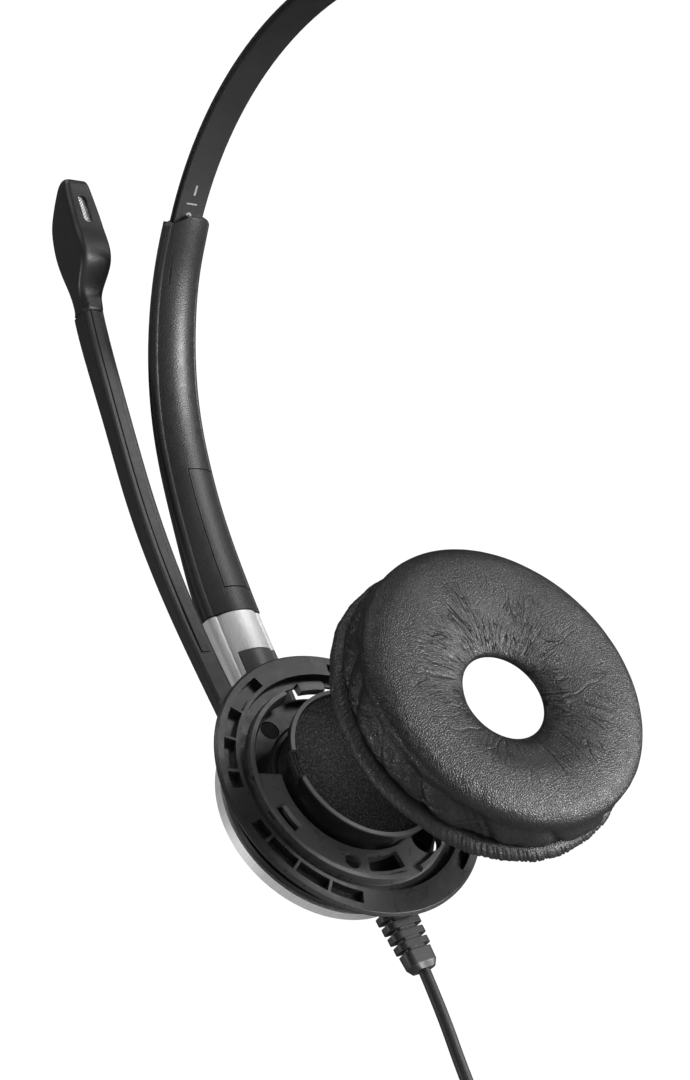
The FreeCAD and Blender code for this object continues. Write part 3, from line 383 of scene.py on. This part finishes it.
def metal(name, value, rough):
    paint = Paint(name, grey(value), rough, metal=1.0, edge=0.08)
    wear = paint.noise(500.0, 5.0, 0.6)
    paint.coloured(wear, 0.3, 0.7, (0.0, grey(value * 0.75)), (1.0, grey(value * 1.1)))
    paint.roughened(wear, 0.3, 0.7, rough, rough + 0.18)
    return paint.material


def wire_mesh(name):
    """Woven wire: two crossing sets of bright strands, with painted shade in the gaps between them."""
    paint = Paint(name, grey(0.9), 0.32, metal=0.5, edge=0.0)
    waves = []
    for turn in (math.radians(45), math.radians(-45)):
        item = paint.add("ShaderNodeTexWave", wave_type="BANDS", bands_direction="Y")
        item.inputs["Scale"].default_value = 520.0
        paint.link(paint.stretched((1, 1, 1), (turn, 0, 0)), item.inputs["Vector"])
        waves.append(item.outputs["Fac"])
    woven = paint.maths("MAXIMUM", *waves)
    # the weave's low gaps are darker: painted shade in the openings between strands
    paint.coloured(woven, 0.25, 0.75, (0.0, grey(0.4)), (1.0, grey(0.95)))
    paint.bumped(woven, 0.12 * MM)
    return paint.material


def plain(name, colour, rough, metalness=0.0):
    """A small inner piece: its colour with a little unevenness."""
    paint = Paint(name, colour, rough, metal=metalness, edge=0.08)
    darker = tuple(0.75 * c for c in colour)
    lighter = tuple(min(1.0, 1.2 * c) for c in colour)
    paint.coloured(paint.noise(300.0, 4.0), 0.3, 0.7, (0.0, darker), (1.0, lighter))
    return paint.material


def dress(material, *names):
    """Puts a material on CAD nodes."""
    for name in names:
        mesh = nodes[name].data
        mesh.materials.clear()
        mesh.materials.append(material)


def dress_frame():
    lean = math.radians(10)
    dress(moulded("band_plastic", 0.02, 0.34, 0.0, edge=0.15), "headband_strip")
    arm = moulded("arm_plastic", 0.018, 0.4, 0.05, 0.34, edge=0.2)
    dress(arm, "arm_inner_shell", "arm_outer_shell", "arm_cover_panel", "band_end_cap", "temple_bar")
    dress(
        moulded("boom_plastic", 0.018, 0.4, 0.02, 0.3, edge=0.15),
        "boom_arm",
        "mic_back_shell",
        "mic_front_shell",
    )
    dress(moulded("cup_plastic", 0.013, 0.36, edge=0.12), "rear_housing", "rear_frame_plate", "boom_hub")
    dress(moulded("tab_plastic", 0.06, 0.36, 0.02, 0.3), "sleeve_tab")
    dress(moulded("baffle_plastic", 0.012, 0.33, edge=0.1), "front_baffle")
    dress(capsule_shell("capsule_plastic", 0.01, 0.16, 0.34), "driver_capsule")
    dress(ring_face("ring_plastic", 0.022, 0.12, 0.3), "pad_ring")
    dress(moulded("clip_plastic", 0.03, 0.25, edge=0.1), "tilt_clip")
    dress(
        moulded("plug_plastic", 0.03, 0.38, 0.01, 0.3),
        "plug_back_half",
        "plug_front_half",
        "ear_pad_back_ring",
    )
    dress(moulded("latch_plastic", 0.12, 0.4), "plug_latch")
    dress(brushed("sleeve_aluminium", 0.62, 0.5, (0, lean, 0)), "metal_sleeve")
    dress(brushed("cover_aluminium", 0.95, 0.5, (0, math.radians(90), 0), 0.006), "outer_cover")
    dress(
        rubber("soft_rubber", 0.022),
        "strain_relief",
        "boom_inlay",
        "cord_tie",
        "plug_relief",
        "cord_inner_end",
    )
    dress(metal("black_screws", 0.02, 0.4), "baffle_screws", "ring_hinge_pins")
    dress(metal("plated_steel", 0.45, 0.25), "temple_pivot_pin", "mic_capsule")
    dress(
        metal("spring_steel", 0.5, 0.3),
        "headband_spring",
        "slider_detent_spring",
        "friction_washer",
        "driver_basket",
    )
    dress(foam("capsule_foam", 0.018), "driver_foam")
    dress(wire_mesh("mic_wire"), "mic_mesh")
    dress(plain("magnet_grey", (0.12, 0.12, 0.12), 0.45, 0.6), "driver_magnet")
    dress(plain("copper", (0.72, 0.33, 0.17), 0.3, 1.0), "voice_coil")
    dress(plain("film", (0.5, 0.5, 0.45), 0.2), "diaphragm")
    dress(plain("board_green", (0.02, 0.12, 0.05), 0.4), "circuit_board")
    dress(plain("gold", (0.8, 0.6, 0.25), 0.25, 1.0), "plug_contacts")


# ---------------------------------------------------------------- cord


LEAD_RADIUS = 1.3
# the hanging lead's points, as in the CAD, from the strain relief down to the coil
LEAD = (
    (-75.35, -0.9, -42.5),
    (-75.35, -1.8, -52.0),
    (-75.4, -3.8, -63.0),
    (-75.4, -5.3, -76.0),
    (-75.2, -6.3, -88.0),
    (-75.0, -7.0, -97.0),
    (-76.2, -7.2, -104.0),
)
# the points from the coil up to the plug
TAIL = (
    (-67.6, 0.0, -139.7),
    (-64.3, 0.0, -140.2),
    (-61.9, 0.0, -142.1),
    (-61.0, 0.0, -145.2),
    (-61.0, 0.0, -149.5),
)
COIL_CENTRE = (-67.0, -3.6, -122.0)
COIL_RADIUS = 14.0
# where each turn lies in the bundle: out from the ring's own line, and along the coil's axis
TURNS = (
    (1.4, -3.6), (-1.4, -3.6), (-2.8, -1.2), (0.0, -1.2), (2.8, -1.2), (4.2, 1.2),
    (1.4, 1.2), (-1.4, 1.2), (-2.8, 3.6), (0.0, 3.6), (2.8, 3.6),
)
COIL_START = 133.0
COIL_END = 256.0 + 3600.0
FIRST_MOVE = 450.0
MOVE_ANGLE = 48.0
# moves at which the layers turn back, which need room from the move before
TURNING_BACK = (2, 5, 8)
BACK_ROOM = 42.0
POINTS_IN_COIL = 166


def turn_place(angle, moves):
    """Where in the bundle the cord lies at an angle along the coil."""
    out, along = TURNS[0]
    for number, move in enumerate(moves):
        share = min(1.0, max(0.0, (angle - move) / MOVE_ANGLE + 0.5))
        share = share * share * (3 - 2 * share)
        out += share * (TURNS[number + 1][0] - TURNS[number][0])
        along += share * (TURNS[number + 1][1] - TURNS[number][1])
    return out, along


def cord_route():
    moves = [FIRST_MOVE]
    for number in range(1, len(TURNS) - 1):
        moves.append(moves[-1] + 360.0 - (BACK_ROOM if number in TURNING_BACK else 0.0))
    points = list(LEAD)
    for step in range(POINTS_IN_COIL):
        angle = COIL_START + (COIL_END - COIL_START) * step / (POINTS_IN_COIL - 1)
        out, along = turn_place(angle, moves)
        radius = COIL_RADIUS + out
        turn = math.radians(angle)
        x = COIL_CENTRE[0] + radius * math.cos(turn)
        z = COIL_CENTRE[2] + radius * math.sin(turn)
        points.append((x, COIL_CENTRE[1] + along, z))
    return points + list(TAIL)


def make_cord():
    data = bpy.data.curves.new("lead", "CURVE")
    data.dimensions = "3D"
    data.bevel_depth = LEAD_RADIUS * MM
    data.bevel_resolution = 8
    data.resolution_u = 8
    data.use_fill_caps = True
    route = cord_route()
    line = data.splines.new("NURBS")
    line.points.add(len(route) - 1)
    for point, place in zip(line.points, route):
        point.co = (*[MM * value for value in place], 1.0)
    line.order_u = 3
    line.use_endpoint_u = True
    lead = bpy.data.objects.new("lead", data)
    scene.collection.objects.link(lead)
    data.materials.append(rubber("lead_sheath", 0.02))
    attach(lead, "arm_and_cup")
    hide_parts("cord_lead", "cord_coil", "cord_tail", "cord_inner_end")


# ---------------------------------------------------------------- meshes


def mesh_object(name, points, faces, material):
    mesh = bpy.data.meshes.new(name)
    mesh.from_pydata([tuple(p) for p in points], [], faces)
    mesh.validate()
    mesh.materials.append(material)
    mesh.shade_smooth()
    item = bpy.data.objects.new(name, mesh)
    scene.collection.objects.link(item)
    return item


def smooth_profile(corners, steps, closed):
    """A profile through its corners, rounded by a Catmull-Rom curve."""
    corners = np.array(corners, float)
    count = len(corners)
    spans = count if closed else count - 1
    line = []
    for number in range(spans):
        picks = [
            (number + k) % count if closed else min(max(number + k, 0), count - 1) for k in (-1, 0, 1, 2)
        ]
        a, b, c, d = corners[picks]
        for step in range(steps):
            t = step / steps
            square = 2 * a - 5 * b + 4 * c - d
            cube = 3 * b - a - 3 * c + d
            line.append(0.5 * (2 * b + (c - a) * t + square * t**2 + cube * t**3))
    if not closed:
        line.append(corners[-1])
    return np.array(line)


def evenly(line, count, closed):
    """The same line with its points at even distances."""
    whole = np.vstack([line, line[:1]]) if closed else line
    along = np.concatenate([[0], np.cumsum(np.linalg.norm(np.diff(whole, axis=0), axis=1))])
    places = np.linspace(0, along[-1], count + 1)[:-1] if closed else np.linspace(0, along[-1], count)
    return np.stack([np.interp(places, along, whole[:, k]) for k in (0, 1)], axis=1)


def lathe(profile, around):
    """Points and faces of a closed profile of (x, r) turned about the local X axis."""
    angles = np.linspace(0, 2 * math.pi, around, endpoint=False)
    x = np.repeat(profile[None, :, 0], around, axis=0)
    r = np.repeat(profile[None, :, 1], around, axis=0)
    points = np.stack([x, r * np.cos(angles)[:, None], r * np.sin(angles)[:, None]], axis=2).reshape(-1, 3)
    count = len(profile)
    faces = []
    for i in range(around):
        after = (i + 1) % around
        for j in range(count):
            up = (j + 1) % count
            faces.append((i * count + j, i * count + up, after * count + up, after * count + j))
    return points, faces


# ---------------------------------------------------------------- ear pad


PAD_CENTRE = Vector((-39.6, 16.2, -3.2)) * MM
PAD_FACING = Vector((0.991, -0.114, -0.071)).normalized()
PAD_TURN = Vector((1, 0, 0)).rotation_difference(PAD_FACING).to_matrix()
# half of the cushion's section as (x, r) in mm: hole, face, shoulder, side, tuck, back, recess
PAD_SECTION = (
    (8.2, 10.2), (8.7, 9.7), (9.5, 9.8), (10.3, 10.7), (11.1, 12.4), (11.9, 15.2), (12.7, 18.8),
    (13.1, 22.0), (13.2, 25.2), (13.1, 28.2), (12.7, 30.6), (11.9, 32.3), (10.8, 33.1), (9.6, 33.0),
    (8.6, 32.7), (7.4, 32.9), (5.8, 33.5), (4.2, 33.6), (2.7, 33.1), (1.5, 32.0), (0.7, 31.0), (0.8, 28.0),
    (1.0, 25.8), (1.8, 25.0), (4.5, 25.0), (7.0, 24.9), (7.9, 24.0), (8.1, 20.0), (8.1, 15.0), (8.0, 12.0),
)
# how far the slack cover has slipped at the hole, across the pad, in mm
HOLE_SLIP = (-1.4, -2.9)
WALL_NOTCHES = 30
# the side wall's lumps: how many go round, how high each is in mm, and where it starts
LUMPS = ((5, 0.16, 1.0), (9, 0.14, 2.2), (14, 0.1, 0.4), (23, 0.07, 4.0))


def placed(points):
    """Points of the pad's own frame, in mm, at the pad's place in metres."""
    turn = np.array(PAD_TURN)
    return (np.asarray(points) * MM) @ turn.T + np.array(PAD_CENTRE)


def folds(angle, seeds, width, sharp):
    """A sum of notches round the pad: each seed is (angle, depth)."""
    total = np.zeros_like(angle)
    for spot, deep in seeds:
        away = np.abs((angle - spot + math.pi) % (2 * math.pi) - math.pi)
        total += deep * np.exp(-((away / width) ** sharp))
    return total


def crumpled(points):
    """Soft lumps and folds on the cushion's side wall, and a slight unevenness of its face."""
    x, y, z = points.T
    angle = np.arctan2(z, y)
    radius = np.hypot(y, z)
    wall = np.exp(-(((x - 5.2) / 3.0) ** 2)) * (radius > 29)
    seeds = [(chance.uniform(-math.pi, math.pi), chance.uniform(0.35, 1.0)) for _ in range(WALL_NOTCHES)]
    notch = folds(angle + 0.03 * (x - 4.6), seeds, 0.04, 1.4)
    lump = sum(size * np.sin(count * angle + phase + 0.25 * x) for count, size, phase in LUMPS)
    radius = radius + wall * (np.minimum(lump, 0.1) - 1.7 * notch)
    face = np.clip((x - 9.0) / 4.0, 0, 1)
    wave = 0.1 * np.sin(3 * angle + 0.7) + 0.07 * np.sin(7 * angle + 2.0 + 0.1 * radius) * (radius < 30)
    x = x + face * wave
    slack = np.clip((27.0 - radius) / 15.0, 0, 1)
    slack = slack * slack * (3 - 2 * slack) * (x > 7.5)
    y = radius * np.cos(angle) + HOLE_SLIP[0] * slack
    z = radius * np.sin(angle) + HOLE_SLIP[1] * slack
    return np.stack([x, y, z], axis=1)


SIM_SCALE = 20.0
SIM_FRAMES = 20
SIM_PRESSURE = 2.0
# the cover is cut this much larger than the foam
SIM_SLACK = 0.02
# how far filling may move a point, in mm: anywhere, and more on the side wall and by the hole
FACE_CAP = 0.08
WALL_CAP = 0.5
HOLE_CAP = 0.1
SEAM_CREASES = 40
WALL_FOLDS = 60


def puffed(item, held, cap):
    """Fills a cushion, drawn SIM_SCALE times too large, like a sewn cover over foam."""
    group = item.vertex_groups.new(name="held")
    for number, weight in enumerate(held):
        if weight > 0:
            group.add([number], float(weight), "REPLACE")
    before = np.zeros(len(item.data.vertices) * 3)
    item.data.vertices.foreach_get("co", before)
    before = before.reshape(-1, 3)
    cloth = item.modifiers.new("fill", "CLOTH")
    setup = cloth.settings
    setup.quality = 6
    setup.vertex_group_mass = "held"
    setup.pin_stiffness = 1.0
    setup.tension_stiffness = 12
    setup.compression_stiffness = 12
    setup.shear_stiffness = 5
    setup.bending_stiffness = 0.3
    setup.use_pressure = True
    setup.uniform_pressure_force = SIM_PRESSURE
    setup.shrink_min = -SIM_SLACK
    setup.effector_weights.gravity = 0.0
    for number in range(1, SIM_FRAMES + 1):
        scene.frame_set(number)
    shaped = item.evaluated_get(bpy.context.evaluated_depsgraph_get())
    after = np.zeros(len(shaped.data.vertices) * 3)
    shaped.data.vertices.foreach_get("co", after)
    after = after.reshape(-1, 3)
    item.modifiers.remove(cloth)
    scene.frame_set(1)
    step = after - before
    far = np.linalg.norm(step, axis=1, keepdims=True)
    step *= np.minimum(1.0, cap / np.maximum(far, 1e-9))
    return before + step


def off_line(angle, centre, radius):
    """How far each point is from a line that runs out from the axis, in mm along the round."""
    return ((angle - centre + math.pi) % (2 * math.pi) - math.pi) * radius


def seam_creases(angle, radius, front):
    """Depth of the short, slightly bent creases that the hole's seam draws into the face."""
    down = np.zeros_like(radius)
    for _ in range(SEAM_CREASES):
        spot = chance.uniform(-math.pi, math.pi)
        begin = chance.uniform(11.8, 14.0)
        long = chance.choice((2.5, 4.5, 7.5, 12.0), p=(0.3, 0.3, 0.25, 0.15)) * chance.uniform(0.7, 1.3)
        deep = chance.uniform(0.05, 0.13)
        bend = chance.uniform(-0.025, 0.025)
        wander = chance.uniform(0, 6.0)
        wide = chance.uniform(0.18, 0.3)
        centre = spot + bend * (radius - begin) + 0.018 * np.sin(1.1 * radius + wander)
        away = off_line(angle, centre, radius)
        starts = np.clip((radius - begin + 1.0) / 1.5, 0, 1)
        ends = np.clip((begin + long - radius) / (0.6 * long), 0, 1)
        down += deep * (starts * ends) * np.exp(-((away / wide) ** 2)) * front
    return down


def wall_folds(x, angle, radius):
    """Depth of the slanted folds on the side wall, which run out towards the face."""
    down = np.zeros_like(radius)
    for _ in range(WALL_FOLDS):
        spot = chance.uniform(-math.pi, math.pi)
        centre = spot + 0.06 * (x - 6.0) + 0.04 * np.sin(0.9 * x + spot)
        away = off_line(angle, centre, radius)
        top = chance.uniform(6.0, 9.5)
        share = np.clip((top - x) / 3.0, 0, 1) * (radius > 28) * np.clip((x - 0.9) / 0.6, 0, 1)
        deep = chance.uniform(0.12, 0.42)
        wide = chance.uniform(0.22, 0.5)
        down += deep * share * np.exp(-((away / wide) ** 2))
    return down


def creased(points):
    """How deep the cover's creases and folds are at each point, in mm."""
    x, y, z = points.T
    slack = np.clip((27.0 - np.hypot(y, z)) / 15.0, 0, 1) * (x > 7.5)
    y = y - HOLE_SLIP[0] * slack
    z = z - HOLE_SLIP[1] * slack
    angle = np.arctan2(z, y)
    radius = np.hypot(y, z)
    front = np.clip((x - 9.6) / 1.4, 0, 1)
    return seam_creases(angle, radius, front) + wall_folds(x, angle, radius)


def draw_cushion(cover):
    """The cushion, drawn SIM_SCALE times too large; returns it and its points in mm."""
    section = evenly(smooth_profile(PAD_SECTION, 8, True), 132, True)
    points, faces = lathe(section, 360)
    points = crumpled(points)
    return mesh_object("ear_pad_cushion", points * MM * SIM_SCALE, faces, cover), points


def fill_cushion(item, points):
    """The cushion's points, in mm, once it is filled; its back and its hole's seam are held."""
    x = points[:, 0]
    radius = np.hypot(points[:, 1], points[:, 2])
    held = ((x < 1.6) | (radius < 10.9) | ((radius < 25.4) & (x < 9.0))).astype(float)
    side = np.exp(-(((x - 5.0) / 3.2) ** 2)) * (radius > 29)
    inner = np.clip((19.0 - radius) / 6.0, 0, 1)
    cap = (FACE_CAP + WALL_CAP * side + HOLE_CAP * inner)[:, None]
    return puffed(item, held, cap * MM * SIM_SCALE) / (MM * SIM_SCALE)


def subdivide(item):
    smoother = item.modifiers.new("smooth", "SUBSURF")
    smoother.levels = 1
    smoother.render_levels = 1
    bpy.context.view_layer.objects.active = item
    item.select_set(True)
    bpy.ops.object.modifier_apply(modifier="smooth")
    item.select_set(False)


def make_ear_pad():
    item, points = draw_cushion(leather("pad_leatherette", 0.0065, True))
    points = fill_cushion(item, points)
    item.data.vertices.foreach_set("co", (points * MM).ravel())
    subdivide(item)
    mesh = item.data
    fine = np.zeros(len(mesh.vertices) * 3)
    normals = np.zeros(len(mesh.vertices) * 3)
    mesh.vertices.foreach_get("co", fine)
    mesh.vertices.foreach_get("normal", normals)
    fine = fine.reshape(-1, 3) / MM
    normals = normals.reshape(-1, 3)
    fine = fine - normals * creased(fine)[:, None]
    around = np.arctan2(fine[:, 2], fine[:, 1])
    radius = np.hypot(fine[:, 1], fine[:, 2])
    polar = np.stack([np.cos(around), np.sin(around), radius * MM], axis=1)
    mesh.attributes.new("round", "FLOAT_VECTOR", "POINT").data.foreach_set("vector", polar.ravel())
    mesh.vertices.foreach_set("co", placed(fine).ravel())
    mesh.shade_smooth()
    mesh.update()
    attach(item, "ear_pad")
    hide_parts("ear_pad_cover", "ear_pad_foam")


# half of the lip's section as (x, r) in mm: over the pad's back, then round the ring's edge
LIP_SECTION = (
    (1.2, 31.2), (0.7, 31.6), (0.5, 32.6), (0.3, 33.3), (-0.4, 33.5), (-1.2, 33.6), (-1.6, 34.0),
    (-1.5, 34.7), (-0.8, 35.1), (0.3, 35.0), (1.2, 34.3), (1.7, 33.0), (1.7, 31.8),
)
PLEATS = 210
# the pleats begin this far from the pad's axis, clear of the ring
PLEAT_RADIUS = 33.5


def make_lip():
    """The stretch skirt's gathered edge: a soft welt with fine uneven pleats."""
    section = evenly(smooth_profile(LIP_SECTION, 6, True), 36, True)
    points, faces = lathe(section, 1080)
    x, y, z = points.T
    angle = np.arctan2(z, y)
    radius = np.hypot(y, z)
    spots = np.cumsum(chance.uniform(0.6, 1.7, PLEATS))
    spots = spots / spots[-1] * 2 * math.pi - math.pi
    sizes = chance.uniform(0.05, 0.4, PLEATS)
    pleat = folds(angle + 0.02 * x, list(zip(spots, sizes)), 0.006, 1.6)
    swell = 0.12 * np.sin(11 * angle + 1) + 0.08 * np.sin(29 * angle + 2)
    outer = np.clip((radius - PLEAT_RADIUS) / 0.7, 0, 1)
    radius = radius + outer * (swell - pleat)
    x = x * (1 - 0.25 * pleat * outer) + 0.08 * np.sin(7 * angle) * outer
    points = np.stack([x, radius * np.cos(angle), radius * np.sin(angle)], axis=1)
    item = mesh_object("ear_pad_lip", placed(points), faces, leather("lip_leatherette", 0.02, False))
    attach(item, "ear_pad")
    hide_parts("ear_pad_skirt")


# ---------------------------------------------------------------- temple pad


TEMPLE_CENTRE = (63.83, 0.0, 102.62)
TEMPLE_FACING = (-0.788, 0.0, -0.616)
TEMPLE_HALF_TALL = 7.6
# from the pad's middle layer to its face or back, how much the face is domed, and how far it is set back
TEMPLE_HALF_THICK = 2.6
TEMPLE_CROWN = 0.5
TEMPLE_SET_BACK = 2.1
TEMPLE_ROWS = 26
TEMPLE_AROUND = 144


def bulged(value, power):
    """The value's size raised to a power, with its sign kept: a power below 1 squares a curve off."""
    return math.copysign(abs(value) ** power, value)


def make_temple_pad():
    """The foam-filled temple pad, domed towards the head."""
    low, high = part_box("temple_pad")
    centre = Vector(TEMPLE_CENTRE) * MM
    facing = Vector(TEMPLE_FACING).normalized()
    side = Vector((0, 1, 0))
    up = facing.cross(side)
    width = (high.y - low.y) / 2
    tall = TEMPLE_HALF_TALL * MM
    points = []
    for row in range(TEMPLE_ROWS + 1):
        phase = math.pi * (row / TEMPLE_ROWS)
        reach = math.sin(phase) ** 0.45 if 0 < row < TEMPLE_ROWS else 0.0
        out = TEMPLE_HALF_THICK * bulged(math.cos(phase), 0.8)
        for spot in range(TEMPLE_AROUND):
            angle = 2 * math.pi * spot / TEMPLE_AROUND
            rim = 1 + 0.012 * math.sin(9 * angle + 1) * math.sin(phase)
            y = width * reach * rim * bulged(math.cos(angle), 0.8)
            z = tall * reach * rim * bulged(math.sin(angle), 0.8)
            crown = TEMPLE_CROWN * (1 - (y / width) ** 2) if out > 0 else 0.0
            points.append(centre + facing * ((out + crown - TEMPLE_SET_BACK) * MM) + side * y + up * z)
    faces = []
    for row in range(TEMPLE_ROWS):
        for spot in range(TEMPLE_AROUND):
            after = (spot + 1) % TEMPLE_AROUND
            a, b = row * TEMPLE_AROUND, (row + 1) * TEMPLE_AROUND
            faces.append((a + spot, a + after, b + after, b + spot))
    item = mesh_object("temple_cushion", points, faces, leather("temple_leatherette", 0.02, False))
    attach(item, "temple_support")
    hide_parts("temple_pad")


# ---------------------------------------------------------------- marks on the headband


# the centre of the band's arc, and how far the marks stand from it, in mm
BAND_CENTRE = (0.0, 0.0, 69.0)
MARK_RADIUS = 74.38
# the marks are a little off the middle of the strip
MARK_SHIFT = 0.3
# each number with its angle up the band, and the tick's angle above it
SCALE_MARKS = (("1", 15.6), ("2", 21.0))
TICK_ABOVE = 2.6
NUMBER_TALL = 3.4
TICK_HALF = (1.5, 0.2)


def number_shape(text):
    data = bpy.data.curves.new("mark_" + text, "FONT")
    data.body = text
    data.size = NUMBER_TALL * MM
    data.extrude = 0.03 * MM
    data.offset = 0.12 * MM
    data.align_x = "CENTER"
    data.align_y = "CENTER"
    return data


def tick_shape(text):
    data = bpy.data.meshes.new("tick_" + text)
    wide, tall = TICK_HALF[0] * MM, TICK_HALF[1] * MM
    corners = [(-wide, -tall, 0), (wide, -tall, 0), (wide, tall, 0), (-wide, tall, 0)]
    data.from_pydata(corners, [], [(0, 1, 2, 3)])
    return data


def place_mark(data, angle):
    """Puts a mark on the strip's outer face, at an angle up the band in degrees."""
    angle = math.radians(angle)
    out = Vector((-math.sin(angle), 0, math.cos(angle)))
    down = Vector((-math.cos(angle), 0, -math.sin(angle)))
    place = Vector(BAND_CENTRE) * MM + out * (MARK_RADIUS * MM) + Vector((0, MARK_SHIFT * MM, 0))
    mark = bpy.data.objects.new(data.name, data)
    scene.collection.objects.link(mark)
    face = -out
    right = -down.cross(face)
    turn = Matrix((right, -down, face)).transposed().to_4x4()
    mark.matrix_world = Matrix.Translation(place) @ turn
    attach(mark, "headband")


def make_marks():
    """The slider's printed scale: two numbers with a tick above each."""
    ink = plain("scale_ink", (0.32, 0.32, 0.32), 0.5)
    for text, angle in SCALE_MARKS:
        for data, more in ((number_shape(text), 0.0), (tick_shape(text), TICK_ABOVE)):
            data.materials.append(ink)
            place_mark(data, angle + more)


# ---------------------------------------------------------------- floor


FLOOR_HALF = 3.0
FLOOR_HEIGHT = -0.42


def make_floor():
    mesh = bpy.data.meshes.new("floor")
    half = FLOOR_HALF
    corners = [(-half, -half, 0), (half, -half, 0), (half, half, 0), (-half, half, 0)]
    mesh.from_pydata(corners, [], [(0, 1, 2, 3)])
    paint = Paint("studio_floor", grey(0.82), 0.6, edge=0.0)
    paint.coloured(paint.noise(6.0), 0.3, 0.7, (0.0, grey(0.8)), (1.0, grey(0.84)))
    mesh.materials.append(paint.material)
    floor = bpy.data.objects.new("floor", mesh)
    floor.location = (0, 0, FLOOR_HEIGHT)
    scene.collection.objects.link(floor)


make_studio(*make_camera())
make_cord()
dress_frame()
make_ear_pad()
make_lip()
make_temple_pad()
make_marks()
make_floor()
